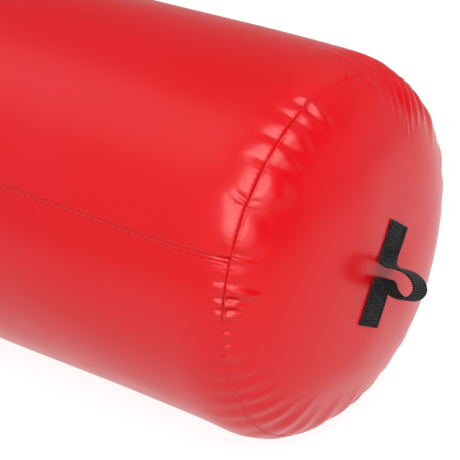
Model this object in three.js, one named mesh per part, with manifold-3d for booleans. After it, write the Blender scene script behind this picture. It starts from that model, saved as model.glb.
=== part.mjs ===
// A stuffed boxing sandbag lying on its side, in millimetres.
//
// +X runs along the bag to its closed bottom end, where the webbing loop is. +Z is up.
// The origin is on the flat that the bag's own weight presses into its underside, below
// the middle of the bag's length.

import * as THREE from 'three';
import { mergeVertices } from 'three/addons/utils/BufferGeometryUtils.js';
import Module from 'manifold-3d';

const wasm = await Module();
wasm.setup();

// ---- driving dimensions -------------------------------------------------------------

const BAG_RADIUS = 160;
const BAG_SAG = 8; // how far the weight flattens the underside
const AXIS_HEIGHT = BAG_RADIUS - BAG_SAG;
const SHEET = 1.2; // thickness of the leather-like sheet
const GAP = 0.3; // clearance between pieces that touch
const FINE = 48; // flats round the outer shell
const COARSE = 24; // flats round the layers inside it

// Closed bottom end: a superellipse from where the tube starts to round off to the apex.
const DOME_START_X = 407;
const DOME_HEIGHT = 93;
const DOME_POWER_X = 2 / 2.85;
const DOME_POWER_R = 2 / 2.54;
const BOTTOM_SEAM_X = 454;
const APEX_X = DOME_START_X + DOME_HEIGHT;

// Top end: the tube rounds off to a flat panel with a zip across it.
const TOP_ROUND_X = -440;
const TOP_SEAM_X = -468;
const TOP_SEAM_RADIUS = 150;
const TOP_FACE_X = -480;
const TOP_FLAT_RADIUS = 130;
const TOP_RIM_STEPS = [[6, 4], [10, 11]]; // out from the seam, and in from its radius
const PAST_EITHER_END = -4 * BAG_RADIUS; // an X beyond the bag, for cutting blocks

// Turned seams: both edges point inward, side by side, under a folded tape.
const ALLOWANCE = 10;
const BINDING_REACH = 3;
const BINDING_SHEET = 0.8;
const BINDING_GRIP = 7;

const SEAM_BACKING = { centreX: -14, length: 850, width: 18, angle: 18.75 };

// Webbing strap on the bottom panel, in the plane of its own side view: out from the
// apex along X, and along the strap's length.
const LOOP_TILT = THREE.MathUtils.degToRad(28); // from +Z towards +Y
const LOOP_WEBBING = { width: 30, thickness: 1.8 };
const LOOP_UPPER_END = 39;
const LOOP_LOWER_END = -46;
const LOOP_ROOT = 6; // how far out the free loop begins
const LOOP_FLEX = 1.2; // the stretch between tail and loop in which the webbing bends
const LOOP_UPPER_LEG = 4.6;
const LOOP_LOWER_LEG = -6.6;
const TAIL_RISE = [[0, 12], [0.3, 5], [2, 1.2]]; // how a tail lifts off towards its leg
const TAIL_STEPS = 12;
const LOOP_STEPS = 27;
const LOOP_CURVE = [
  [14, 5],
  [23, 4.2],
  [31, 0.4],
  [35, -6.2],
  [32.4, -12.8],
  [25, -16.3],
  [16, -15.4],
  [9.6, -11.4],
];

// Hanging straps and their D-rings, at the top end.
const STRAP_ANGLES = [45, 135, 225, 315];
const STRAP = { width: 38, thickness: 4, start: -365, eye: -486, eyeOuter: 5.4, eyeInner: 3.2 };
const RING = { wire: 2.5, inside: 40, leg: 6, bowPoints: 6, steps: 22, wireDivisions: 4, barFlats: 10 };
const PATCH = { length: 110, width: 18, thickness: 1.2, clear: 6 };

// Filling zip, along Y across the top panel.
const ZIP_SLOT = { halfLength: 117, halfWidth: 5 };
const ZIP_COIL = { halfLength: 112, inner: 0.9, width: 3.1, thickness: 2.3, proud: 1.2 };
const ZIP_TAPE = { halfLength: 124, inner: 1.2, width: 17, thickness: 0.8 };
const ZIP_STOP = { length: 3.6, width: 8, proud: 1 };
const SLIDER = { length: 14, halfWidth: 5.8, plate: 1.4, bridge: 1, closedY: 104 };
const SLIDER_OUTER_X = -483.2;
const SLIDER_INNER_X = -477.4;
const SLIDER_EAR = { thickness: 1, rise: 1.6, halfLength: 2 }; // one each side of the pull
const PULL = { pinX: -485.6, pin: 0.8, pinFlats: 10, eye: 2.2, hole: 1.15 };
const PULL_TAB = { length: 27, width: 6.4, thickness: 1.5 };

// Layers inside the shell.
const FOAM = { outer: 155.5, inner: 143.5, start: -436, end: 404 };
const LINER = { outer: 143.1, sheet: 0.8, start: -442, end: 423, neck: 22, neckX: -453, mouthX: -462 };
const LINER_TIE = { x: -458.5, cord: 2, flats: 6 };
const FILL = { outer: 141.9, inner: 46, start: -438, end: 421.5 };
const POUCH = { radius: 44, length: 272, round: 14, first: -292, pitch: 284, count: 3, flats: 16 };
const BOTTOM_PAD = { start: 424, radius: 137, height: 89 };
const TOP_PAD = { x: -474, thickness: 8, radius: 126 };
const BOTTOM_PATCH_RADIUS = 60;

// ---- materials ------------------------------------------------------------------------

function material(color, roughness, metalness = 0) {
  return new THREE.MeshStandardMaterial({ color, roughness, metalness });
}

const red = material(0xe5252b, 0.32);
const redBack = material(0xb51c22, 0.7);
const webbing = material(0x17171a, 0.85);
const tape = material(0x1c1c1f, 0.8);
const steel = material(0xc9ccd0, 0.25, 1);
const foam = material(0xd8d4c8, 0.95);
const textile = material(0x8f8a84, 1);
const pouchSkin = material(0x4a5a46, 0.6);

// ---- geometry helpers --------------------------------------------------------------------

const group = new THREE.Group();

function add(name, geometry, mat) {
  const mesh = new THREE.Mesh(geometry, mat);
  mesh.name = name;
  group.add(mesh);
  return mesh;
}

function toSolid(geometry) {
  const bare = geometry.clone();
  bare.deleteAttribute('normal');
  bare.deleteAttribute('uv');
  const merged = mergeVertices(bare);
  const mesh = new wasm.Mesh({
    numProp: 3,
    vertProperties: new Float32Array(merged.attributes.position.array),
    triVerts: new Uint32Array(merged.index.array),
  });
  mesh.merge();
  return new wasm.Manifold(mesh);
}

function toGeometry(solid) {
  const mesh = solid.getMesh();
  const geometry = new THREE.BufferGeometry();
  geometry.setAttribute('position', new THREE.BufferAttribute(mesh.vertProperties, 3));
  geometry.setIndex(new THREE.BufferAttribute(mesh.triVerts, 1));
  return geometry;
}

function box(low, high) {
  const size = high.map((value, i) => value - low[i]);
  const geometry = new THREE.BoxGeometry(...size);
  geometry.translate(...low.map((value, i) => value + size[i] / 2));
  return geometry;
}

// Turns a profile of [x along the bag, radius] points about the bag's axis. The outer side
// of the profile runs towards +X.
function turned(profile, segments) {
  const points = profile.map(([x, radius]) => new THREE.Vector2(radius, x));
  const geometry = new THREE.LatheGeometry(points, segments);
  geometry.rotateZ(-Math.PI / 2);
  return geometry;
}

// Turns a profile whose points also say how deep under the outer skin they lie, and
// presses its underside flat at that depth above the ground.
function turnedAndPressed(profile, segments) {
  const geometry = turned(profile, segments);
  const position = geometry.attributes.position;
  for (let i = 0; i < position.count; i += 1) {
    const depth = profile[i % profile.length][2];
    position.setZ(i, Math.max(position.getZ(i), depth - AXIS_HEIGHT));
  }
  return geometry;
}

function atDepth(points, depth) {
  return points.map(([x, radius]) => [x, radius, depth]);
}

function closed(profile) {
  return [...profile, profile[0]];
}

// Point on the bottom dome, inset from the outer skin. turn 0 is where the rounding
// starts, and turn 1 is the apex.
function domePoint(turn, inset, radius = BAG_RADIUS, height = DOME_HEIGHT) {
  const angle = (turn * Math.PI) / 2;
  const x = DOME_START_X + (height - inset) * Math.sin(angle) ** DOME_POWER_X;
  const across = Math.max(Math.cos(angle), 0);
  return [x, turn === 1 ? 0 : (radius - inset) * across ** DOME_POWER_R];
}

// The turn at which the dome's outer skin is a given way along X.
function domeTurn(x, height = DOME_HEIGHT) {
  const share = (x - DOME_START_X) / height;
  return Math.asin(share ** (1 / DOME_POWER_X)) / (Math.PI / 2);
}

function domeStretch(from, to, steps, inset, radius, height) {
  const points = [];
  for (let i = 0; i <= steps; i += 1) {
    points.push(domePoint(from + ((to - from) * i) / steps, inset, radius, height));
  }
  return points;
}

// ---- outer shell ----------------------------------------------------------------------------

const seamTurn = domeTurn(BOTTOM_SEAM_X);

function topShoulder(inset) {
  const height = TOP_ROUND_X - TOP_SEAM_X;
  const drop = BAG_RADIUS - TOP_SEAM_RADIUS;
  return [0, 1 / 3, 2 / 3, 1].map((share) => {
    const angle = (share * Math.PI) / 3;
    const fall = (1 - Math.cos(angle)) / (1 - Math.cos(Math.PI / 3));
    const reach = Math.sin(angle) / Math.sin(Math.PI / 3);
    return [TOP_ROUND_X - height * reach, BAG_RADIUS - inset - drop * fall];
  });
}

function makeSidePanel() {
  const outerDome = domeStretch(0, seamTurn, 3, 0);
  const innerDome = domeStretch(0, seamTurn, 3, SHEET);
  const bottomEdge = BOTTOM_SEAM_X - GAP / 2;
  outerDome[3][0] = bottomEdge;
  innerDome[3][0] = bottomEdge - SHEET;
  const topEdge = TOP_SEAM_X + GAP / 2;
  const outerTop = topShoulder(0).reverse();
  const innerTop = topShoulder(SHEET);
  outerTop[0][0] = topEdge;
  innerTop[3][0] = topEdge + SHEET;
  const outer = [
    ...outerTop,
    ...outerDome,
    [bottomEdge, outerDome[3][1] - ALLOWANCE],
  ];
  const inner = [
    [bottomEdge - SHEET, outerDome[3][1] - ALLOWANCE],
    ...innerDome.reverse(),
    ...innerTop,
    [topEdge + SHEET, TOP_SEAM_RADIUS - ALLOWANCE],
    [topEdge, TOP_SEAM_RADIUS - ALLOWANCE],
  ];
  return turnedAndPressed(closed([...atDepth(outer, 0), ...atDepth(inner, SHEET)]), FINE);
}

function makeBottomPanel() {
  const outer = domeStretch(seamTurn, 1, 9, 0);
  const inner = domeStretch(seamTurn, 1, 9, SHEET);
  const edge = BOTTOM_SEAM_X + GAP / 2;
  outer[0][0] = edge;
  inner[0][0] = edge + SHEET;
  return turned(
    [
      ...inner.reverse(),
      [edge + SHEET, outer[0][1] - ALLOWANCE],
      [edge, outer[0][1] - ALLOWANCE],
      ...outer,
    ],
    FINE,
  );
}

function makeSeamBinding(seamX, seamRadius) {
  const foot = seamRadius - ALLOWANCE - BINDING_REACH;
  const top = foot + BINDING_REACH + BINDING_GRIP;
  const inside = SHEET + 1.5 * GAP;
  const outside = inside + BINDING_SHEET;
  return turned(
    closed([
      [seamX - outside, foot],
      [seamX - outside, top],
      [seamX - inside, top],
      [seamX - inside, foot + BINDING_SHEET],
      [seamX + inside, foot + BINDING_SHEET],
      [seamX + inside, top],
      [seamX + outside, top],
      [seamX + outside, foot],
    ]),
    COARSE,
  );
}

// The two halves of the top panel are one turned disc, parted along the zip.
function makeTopPanels() {
  const edge = TOP_SEAM_X - GAP / 2;
  const [first, second] = TOP_RIM_STEPS.map(([out, inward]) => [TOP_SEAM_X - out, TOP_SEAM_RADIUS - inward]);
  const rim = [[edge, TOP_SEAM_RADIUS], first, second, [TOP_FACE_X, TOP_FLAT_RADIUS], [TOP_FACE_X, 0]];
  const lining = [
    [edge - SHEET, TOP_SEAM_RADIUS - SHEET],
    [first[0] + SHEET / 2, first[1] - SHEET],
    [second[0] + SHEET, second[1] - SHEET / 2],
    [TOP_FACE_X + SHEET, TOP_FLAT_RADIUS],
    [TOP_FACE_X + SHEET, 0],
  ];
  const flange = [
    [edge, TOP_SEAM_RADIUS - ALLOWANCE],
    [edge - SHEET, TOP_SEAM_RADIUS - ALLOWANCE],
  ];
  const disc = toSolid(turned([...rim.reverse(), ...flange, ...lining], FINE));
  const reach = BAG_RADIUS;
  const { halfLength, halfWidth } = ZIP_SLOT;
  const slot = toSolid(box([PAST_EITHER_END, -halfLength, -halfWidth], [0, halfLength, halfWidth]));
  return [1, -1].map((side) => {
    const span = [GAP / 2, reach].map((z) => z * side).sort((a, b) => a - b);
    const half = toSolid(box([PAST_EITHER_END, -reach, span[0]], [0, reach, span[1]]));
    return toGeometry(disc.intersect(half).subtract(slot));
  });
}

// A flat strip that lies just inside the shell, at an angle round it from +Y towards +Z.
function makeInnerStrip(centreX, length, width, thickness, angle) {
  const flat = (BAG_RADIUS - SHEET) * Math.cos(Math.PI / FINE) - GAP - thickness / 2;
  const geometry = new THREE.BoxGeometry(length, thickness, width);
  geometry.translate(centreX, flat, 0);
  geometry.rotateX(angle);
  return geometry;
}

// ---- webbing loop on the bottom panel ---------------------------------------------------------

// A band of webbing whose side view follows a curve, given as [out, along] points.
function makeBand(points, steps, webbingSize) {
  const curve = new THREE.SplineCurve(points.map(([out, along]) => new THREE.Vector2(out, along)));
  const near = [];
  const far = [];
  for (let i = 0; i <= steps; i += 1) {
    const at = curve.getPoint(i / steps);
    const heading = curve.getTangent(i / steps);
    const side = new THREE.Vector2(-heading.y, heading.x).multiplyScalar(webbingSize.thickness / 2);
    near.push(at.clone().add(side));
    far.unshift(at.clone().sub(side));
  }
  const outline = new THREE.Shape([...near, ...far]);
  const geometry = new THREE.ExtrudeGeometry(outline, {
    depth: webbingSize.width,
    bevelEnabled: false,
    steps: 1,
  });
  geometry.translate(0, 0, -webbingSize.width / 2);
  return geometry;
}

// Drawn with X out of the panel, Y along the strap and Z across it, then stood on the apex.
function placeOnApex(geometry) {
  geometry.rotateX(Math.PI / 2 - LOOP_TILT);
  geometry.translate(APEX_X, 0, 0);
  return geometry;
}

function makeLoopTail(end, leg) {
  const seat = GAP + LOOP_WEBBING.thickness / 2;
  const side = Math.sign(end);
  const rise = TAIL_RISE.map(([out, along]) => [seat + out, leg + side * along]);
  const points = [[seat, end], ...rise, [LOOP_ROOT - LOOP_FLEX, leg]];
  return placeOnApex(makeBand(points, TAIL_STEPS, LOOP_WEBBING));
}

function makeLoop() {
  const points = [[LOOP_ROOT, LOOP_UPPER_LEG], ...LOOP_CURVE, [LOOP_ROOT, LOOP_LOWER_LEG]];
  return placeOnApex(makeBand(points, LOOP_STEPS, LOOP_WEBBING));
}

// ---- hanging straps and D-rings -----------------------------------------------------------------

const strapSeat = BAG_RADIUS + GAP;
const ringRadius = strapSeat + STRAP.thickness / 2;

// Drawn with X along the bag, Y out from its axis and Z across the strap.
function makeHangStrap() {
  const { eye, eyeOuter, eyeInner, start, thickness, width } = STRAP;
  const half = thickness / 2;
  const neck = Math.asin(half / eyeOuter);
  const outline = new THREE.Shape();
  outline.moveTo(start, ringRadius - half);
  outline.lineTo(start, ringRadius + half);
  outline.absarc(eye, ringRadius, eyeOuter, neck, 2 * Math.PI - neck, false);
  outline.closePath();
  const hole = new THREE.Path();
  hole.absarc(eye, ringRadius, eyeInner, 0, 2 * Math.PI, true);
  outline.holes.push(hole);
  const geometry = new THREE.ExtrudeGeometry(outline, {
    depth: width,
    bevelEnabled: false,
    curveSegments: 8,
  });
  geometry.translate(0, 0, -width / 2);
  return geometry;
}

// A round wire bent to a D about its straight bar. out is +1 for a ring that hangs away
// from the bag's axis and -1 for one that hangs towards it.
function makeRing(out) {
  const { bowPoints, steps, wireDivisions } = RING;
  const middle = RING.inside / 2 + RING.wire;
  const section = new THREE.Shape();
  section.absarc(0, 0, RING.wire, 0, 2 * Math.PI, false);
  const path = new THREE.CurvePath();
  const corner = (across) => new THREE.Vector3(0, 0, across);
  const shoulder = (across) => new THREE.Vector3(0, RING.leg * out, across);
  const bow = new THREE.CatmullRomCurve3(
    Array.from({ length: bowPoints + 1 }, (_, i) => {
      const angle = (i * Math.PI) / bowPoints;
      const rise = RING.leg + middle * Math.sin(angle);
      return new THREE.Vector3(0, rise * out, -middle * Math.cos(angle));
    }),
  );
  path.add(new THREE.LineCurve3(corner(-middle), shoulder(-middle)));
  path.add(bow);
  path.add(new THREE.LineCurve3(shoulder(middle), corner(middle)));
  const wire = new THREE.ExtrudeGeometry(section, { extrudePath: path, steps, curveSegments: wireDivisions });
  const bar = new THREE.CylinderGeometry(RING.wire, RING.wire, 2 * (middle + RING.wire), RING.barFlats);
  bar.rotateX(Math.PI / 2);
  const ring = toGeometry(toSolid(wire).add(toSolid(bar)));
  ring.translate(STRAP.eye, ringRadius, 0);
  return ring;
}

// ---- filling zip ---------------------------------------------------------------------------------

function makeZipRow(side, { halfLength, inner, width, thickness }, outerX) {
  const [low, high] = [inner * side, (inner + width) * side].sort((a, b) => a - b);
  return box([outerX, -halfLength, low], [outerX + thickness, halfLength, high]);
}

function makeZipStop(side) {
  const near = ZIP_COIL.halfLength + GAP;
  const [low, high] = [near * side, (near + ZIP_STOP.length) * side].sort((a, b) => a - b);
  const half = ZIP_STOP.width / 2;
  return box([TOP_FACE_X - ZIP_STOP.proud, low, -half], [TOP_FACE_X + SHEET, high, half]);
}

function makeSlider() {
  const { length, halfWidth, plate, bridge, closedY } = SLIDER;
  const low = closedY - length / 2;
  const high = closedY + length / 2;
  const ear = SLIDER_EAR;
  const earInner = PULL_TAB.width / 2 + GAP;
  const pieces = [
    box([SLIDER_OUTER_X, low, -halfWidth], [SLIDER_OUTER_X + plate, high, halfWidth]),
    box([SLIDER_INNER_X, low, -halfWidth], [SLIDER_INNER_X + plate, high, halfWidth]),
    box([SLIDER_OUTER_X, low, -bridge / 2], [SLIDER_INNER_X + plate, low + length / 3, bridge / 2]),
  ];
  for (const side of [1, -1]) {
    const [inner, outer] = [earInner * side, (earInner + ear.thickness) * side].sort((a, b) => a - b);
    const nearCorner = [PULL.pinX - ear.rise, closedY - ear.halfLength, inner];
    const farCorner = [SLIDER_OUTER_X + plate, closedY + ear.halfLength, outer];
    pieces.push(box(nearCorner, farCorner));
  }
  const pin = new THREE.CylinderGeometry(PULL.pin, PULL.pin, 2 * earInner + ear.thickness, PULL.pinFlats);
  pin.rotateX(Math.PI / 2);
  pin.translate(PULL.pinX, closedY, 0);
  pieces.push(pin);
  return toGeometry(pieces.map(toSolid).reduce((joined, next) => joined.add(next)));
}

// Side view of the pull in the X-Y plane, with an eye round the slider's pin. It lies
// along the closed teeth, just clear of them.
function makePull() {
  const { eye, hole, pinX } = PULL;
  const { length, width, thickness } = PULL_TAB;
  const half = thickness / 2;
  const neck = Math.asin(half / eye);
  const outline = new THREE.Shape();
  outline.moveTo(-half, -length);
  outline.lineTo(half, -length);
  outline.absarc(0, 0, eye, -Math.PI / 2 + neck, (3 * Math.PI) / 2 - neck, false);
  outline.closePath();
  const pinHole = new THREE.Path();
  pinHole.absarc(0, 0, hole, 0, 2 * Math.PI, true);
  outline.holes.push(pinHole);
  const geometry = new THREE.ExtrudeGeometry(outline, {
    depth: width,
    bevelEnabled: false,
    curveSegments: 8,
  });
  geometry.translate(pinX, SLIDER.closedY, -width / 2);
  return geometry;
}

// ---- layers inside the shell ------------------------------------------------------------------------

// A tube whose wall follows the pressed underside of the bag, inside and out.
function makeLayer({ outer, inner, start, end }, innerDepth) {
  const outside = atDepth([[start, outer], [end, outer]], BAG_RADIUS - outer);
  const inside = atDepth([[end, inner], [start, inner]], innerDepth);
  return turnedAndPressed(closed([...outside, ...inside]), COARSE);
}

// A sack with a gathered neck at the top end of the bag.
function makeLiner() {
  const { outer, sheet, start, end, neck, neckX, mouthX } = LINER;
  const lining = outer - sheet;
  const inside = [
    [end - sheet, 0],
    [end - sheet, lining],
    [start + sheet, lining],
    [neckX + sheet, neck - sheet],
    [mouthX, neck - sheet],
  ];
  const outside = [
    [mouthX, neck],
    [neckX, neck],
    [start, outer],
    [end, outer],
    [end, 0],
  ];
  return turnedAndPressed(
    [...atDepth(inside, BAG_RADIUS - lining), ...atDepth(outside, BAG_RADIUS - outer)],
    COARSE,
  );
}

function makeLinerTie() {
  const { x, cord, flats } = LINER_TIE;
  const middle = LINER.neck + cord + GAP;
  const profile = [];
  for (let i = 0; i < flats; i += 1) {
    const angle = (-i * 2 * Math.PI) / flats;
    profile.push([x + cord * Math.cos(angle), middle + cord * Math.sin(angle)]);
  }
  return turned(closed(profile), COARSE);
}

function makePouch(index) {
  const { radius, length, round, first, pitch, flats } = POUCH;
  const half = length / 2;
  const centre = first + index * pitch;
  const end = [0, 1, 2, 3].map((i) => {
    const angle = (i * Math.PI) / 6;
    return [half - round + round * Math.sin(angle), radius - round + round * Math.cos(angle)];
  });
  const start = end.map(([x, r]) => [-x, r]).reverse();
  const profile = [[-half, 0], ...start, ...end, [half, 0]].map(([x, r]) => [x + centre, r]);
  return turned(profile, flats);
}

function makeBottomPad() {
  const { start, radius, height } = BOTTOM_PAD;
  const dome = domeStretch(domeTurn(start, height), 1, 6, 0, radius, height);
  return turned([[start, 0], ...dome], COARSE);
}

function makeTopPad() {
  const { x, thickness, radius } = TOP_PAD;
  return turned([[x, 0], [x, radius], [x + thickness, radius], [x + thickness, 0]], COARSE);
}

function makeBottomPatch() {
  const edge = Math.acos((BOTTOM_PATCH_RADIUS / BAG_RADIUS) ** (1 / DOME_POWER_R)) / (Math.PI / 2);
  const outer = domeStretch(edge, 1, 3, SHEET + GAP);
  const inner = domeStretch(edge, 1, 3, 2 * SHEET + GAP);
  return turned([...inner.reverse(), ...outer], COARSE);
}

// ---- the bag ---------------------------------------------------------------------------------------------

group.position.z = AXIS_HEIGHT;

add('side_panel', makeSidePanel(), red);
add('bottom_panel', makeBottomPanel(), red);
const [topUpper, topLower] = makeTopPanels();
add('top_panel_upper', topUpper, red);
add('top_panel_lower', topLower, red);
add('bottom_seam_binding', makeSeamBinding(BOTTOM_SEAM_X, domePoint(seamTurn, 0)[1]), tape);
add('top_seam_binding', makeSeamBinding(TOP_SEAM_X, TOP_SEAM_RADIUS), tape);

const backing = SEAM_BACKING;
const backingAngle = Math.PI - THREE.MathUtils.degToRad(backing.angle);
const seamStrip = makeInnerStrip(backing.centreX, backing.length, backing.width, SHEET, backingAngle);
add('side_seam_backing', seamStrip, redBack);
add('bottom_patch', makeBottomPatch(), redBack);

add('loop_tail_upper', makeLoopTail(LOOP_UPPER_END, LOOP_UPPER_LEG), webbing);
add('loop_tail_lower', makeLoopTail(LOOP_LOWER_END, LOOP_LOWER_LEG), webbing);
add('bottom_loop', makeLoop(), webbing);

STRAP_ANGLES.forEach((degrees, i) => {
  const angle = THREE.MathUtils.degToRad(degrees);
  const out = Math.sin(angle) > 0 ? -1 : 1;
  add(`hang_strap_${i + 1}`, makeHangStrap(), webbing).rotation.x = angle;
  add(`d_ring_${i + 1}`, makeRing(out), steel).rotation.x = angle;
  const patchX = TOP_ROUND_X + PATCH.clear + PATCH.length / 2;
  const facet = angle + Math.PI / FINE;
  const patch = makeInnerStrip(patchX, PATCH.length, PATCH.width, PATCH.thickness, facet);
  add(`strap_patch_${i + 1}`, patch, redBack);
});

for (const [side, place] of [[1, 'upper'], [-1, 'lower']]) {
  add(`zip_tape_${place}`, makeZipRow(side, ZIP_TAPE, TOP_FACE_X + SHEET + GAP), tape);
  add(`zip_coil_${place}`, makeZipRow(side, ZIP_COIL, TOP_FACE_X - ZIP_COIL.proud), tape);
}
add('zip_stop_closed', makeZipStop(1), steel);
add('zip_stop_open', makeZipStop(-1), steel);
add('zip_slider', makeSlider(), steel);
add('zip_pull', makePull(), steel);

add('foam_wrap', makeLayer(FOAM, BAG_RADIUS - FOAM.inner), foam);
add('fill_liner', makeLiner(), tape);
add('liner_tie', makeLinerTie(), webbing);
add('textile_fill', makeLayer(FILL, BAG_RADIUS - FILL.outer), textile);
for (let i = 0; i < POUCH.count; i += 1) {
  add(`sand_pouch_${i + 1}`, makePouch(i), pouchSkin);
}
add('bottom_pad', makeBottomPad(), foam);
add('top_pad', makeTopPad(), foam);

export default group;
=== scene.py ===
import math

import bmesh
import bpy
import numpy as np
from mathutils import Matrix, Vector


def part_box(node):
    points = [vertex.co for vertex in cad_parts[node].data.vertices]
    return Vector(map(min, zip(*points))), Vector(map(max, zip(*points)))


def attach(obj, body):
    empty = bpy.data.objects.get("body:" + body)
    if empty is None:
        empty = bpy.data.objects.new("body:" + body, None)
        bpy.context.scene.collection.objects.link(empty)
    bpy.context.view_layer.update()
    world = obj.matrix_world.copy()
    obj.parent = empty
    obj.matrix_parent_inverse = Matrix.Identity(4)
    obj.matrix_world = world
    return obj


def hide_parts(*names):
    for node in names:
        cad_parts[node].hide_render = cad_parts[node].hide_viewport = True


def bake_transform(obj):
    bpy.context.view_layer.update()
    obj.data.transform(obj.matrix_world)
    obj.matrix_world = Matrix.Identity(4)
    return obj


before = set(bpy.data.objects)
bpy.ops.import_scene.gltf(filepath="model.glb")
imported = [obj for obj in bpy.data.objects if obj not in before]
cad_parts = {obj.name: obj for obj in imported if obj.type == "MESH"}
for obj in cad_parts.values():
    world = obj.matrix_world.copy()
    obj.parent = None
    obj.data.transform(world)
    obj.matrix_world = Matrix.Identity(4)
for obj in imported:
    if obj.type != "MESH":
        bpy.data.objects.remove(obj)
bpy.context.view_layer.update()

MM = 0.001


# ---- sizes, read from the frame ----

side_low, side_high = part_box("side_panel")
RADIUS = (side_high.y - side_low.y) / 2
AXIS_Z = side_high.z - RADIUS
APEX_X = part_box("bottom_panel")[1].x
BOTTOM_SEAM_X = side_high.x
TOP_SEAM_X = side_low.x
TOP_FACE_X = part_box("top_panel_upper")[0].x

# The dome of the closed end is a superellipse, as in the frame.
DOME_HEIGHT = 93 * MM
DOME_POWER_X = 2 / 2.85
DOME_POWER_R = 2 / 2.54
DOME_START_X = APEX_X - DOME_HEIGHT
TOP_ROUND_X = -440 * MM
TOP_SEAM_RADIUS = 150 * MM
TOP_FLAT_RADIUS = 130 * MM
SEAM_ALLOWANCE = 8 * MM
LINING = 3.5 * MM  # how far inside the skin its coarse inner wall lies

LONG_SEAM_ANGLE = 19.6  # degrees above the horizontal, on the -Y side
LOOP_TILT = math.radians(28)  # the strap's slant, from +Z towards +Y


# ---- small helpers ----

def smooth(low, high, value):
    """0 before low, 1 after high, and a smooth step between them."""
    t = np.clip((value - low) / (high - low), 0, 1)
    return t * t * (3 - 2 * t)


def bump(value, width):
    """1 at 0, and falling away on both sides."""
    return np.exp(-((value / width) ** 2))


def above_zero(height, soft):
    """height where it is well over 0, and nearly 0 below that, with a soft corner."""
    return 0.5 * (height + np.sqrt(height * height + soft * soft))


def unit(vectors):
    """Rows of vectors, each scaled to a length of 1."""
    return vectors / np.linalg.norm(vectors, axis=1)[:, None]


def as_points(*parts):
    """Coordinates, each an array or a number, put together as points."""
    return np.stack(np.broadcast_arrays(*parts), -1)


def place(x, radius, angle_degrees):
    """A point on a circle about the bag's axis. Angle 0 faces -Y and 90 faces up."""
    angle = np.radians(angle_degrees)
    y = -radius * np.cos(angle)
    z = AXIS_Z + radius * np.sin(angle)
    return as_points(x, y, z)


def grid_faces(rows, columns, wrap_rows=False, wrap_columns=True, caps=False):
    """The quads of a grid of points, and with caps a flat face over its first and last rows."""
    r = np.arange(rows if wrap_rows else rows - 1)
    c = np.arange(columns if wrap_columns else columns - 1)
    rr, cc = np.meshgrid(r, c, indexing="ij")
    r2, c2 = (rr + 1) % rows, (cc + 1) % columns
    quads = np.stack([rr * columns + cc, rr * columns + c2, r2 * columns + c2, r2 * columns + cc], -1)
    faces = [tuple(q) for q in quads.reshape(-1, 4).tolist()]
    if caps:
        faces.append(tuple(reversed(range(columns))))
        faces.append(tuple(range((rows - 1) * columns, rows * columns)))
    return faces


def grid_piece(name, points, wrap_rows=False, wrap_columns=True, caps=False, uv=None, hubs=()):
    """A mesh through a grid of points, rows by columns. hubs are two single points that
    close the first and the last row."""
    rows, columns = points.shape[:2]
    vertices = points.reshape(-1, 3).tolist()
    faces = grid_faces(rows, columns, wrap_rows, wrap_columns, caps)
    last = (rows - 1) * columns
    if hubs:
        start, end = rows * columns, rows * columns + 1
        vertices += [list(hub) for hub in hubs]
        faces += [(start, (i + 1) % columns, i) for i in range(columns)]
        faces += [(end, last + i, last + (i + 1) % columns) for i in range(columns)]
    mesh = bpy.data.meshes.new(name)
    mesh.from_pydata(vertices, [], faces)
    if uv is not None:
        layer = mesh.uv_layers.new(name="UVMap")
        flat = np.zeros((len(mesh.vertices), 2))
        flat[: rows * columns] = uv.reshape(-1, 2)
        loops = np.zeros(len(mesh.loops), np.int32)
        mesh.loops.foreach_get("vertex_index", loops)
        layer.data.foreach_set("uv", flat[loops].ravel())
    return finish_mesh(name, mesh)


def new_object(name, data):
    made = bpy.data.objects.new(name, data)
    bpy.context.scene.collection.objects.link(made)
    return made


def finish_mesh(name, mesh):
    """Turns the faces outward, smooths the mesh and links it as an object."""
    mesh.calc_loop_triangles()
    corners = np.zeros(len(mesh.loop_triangles) * 3, np.int32)
    mesh.loop_triangles.foreach_get("vertices", corners)
    co = np.zeros(len(mesh.vertices) * 3)
    mesh.vertices.foreach_get("co", co)
    tri = co.reshape(-1, 3)[corners.reshape(-1, 3)]
    tri -= tri.mean(axis=(0, 1))
    volume = np.einsum("ij,ij->i", tri[:, 0], np.cross(tri[:, 1], tri[:, 2])).sum()
    if volume < 0:
        mesh.flip_normals()
    mesh.polygons.foreach_set("use_smooth", np.ones(len(mesh.polygons), bool))
    mesh.update()
    return new_object(name, mesh)


NO_PATH_STARTS_THIS_WAY = [0.31, 0.52, 0.79]
STRAND_RIDGE = 0.13  # of a cord's radius


def tube(name, path, radius, sides, looped=False, strands=0, turns=0):
    """A round bar along a path of points. Strands give it the ridges of a laid cord."""
    forward = unit(np.roll(path, -1, 0) - np.roll(path, 1, 0) if looped else np.gradient(path, axis=0))
    start = np.cross(forward[0], NO_PATH_STARTS_THIS_WAY)
    side = start / np.linalg.norm(start)
    frames = []
    for heading in forward:
        side = side - heading * side.dot(heading)
        side /= np.linalg.norm(side)
        frames.append((side, np.cross(heading, side)))
    a = np.linspace(0, 2 * math.pi, sides, endpoint=False)
    rows = []
    for i, (centre, (u, v)) in enumerate(zip(path, frames)):
        turn = 2 * math.pi * turns * i / len(path)
        size = radius * (1 + STRAND_RIDGE * np.cos(strands * a + turn)) if strands else radius + 0 * a
        rows.append(centre + (np.cos(a) * size)[:, None] * u + (np.sin(a) * size)[:, None] * v)
    return grid_piece(name, np.array(rows), wrap_rows=looped, caps=not looped)


TIGHT, FOAM, SACK = 0.9, 0.8, 0.85  # how full each kind of soft piece is: 0 slack, 1 tight


def settle(piece, body, slot, material, *nodes, fill=None):
    """Gives a piece its body and material, and hides the nodes it stands for. slot is not used. fill,
    how full a soft piece is, is not used."""
    piece.data.materials.clear()
    piece.data.materials.append(material)
    if nodes:
        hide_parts(*nodes)
    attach(piece, body)


# ---- materials ----

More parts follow.
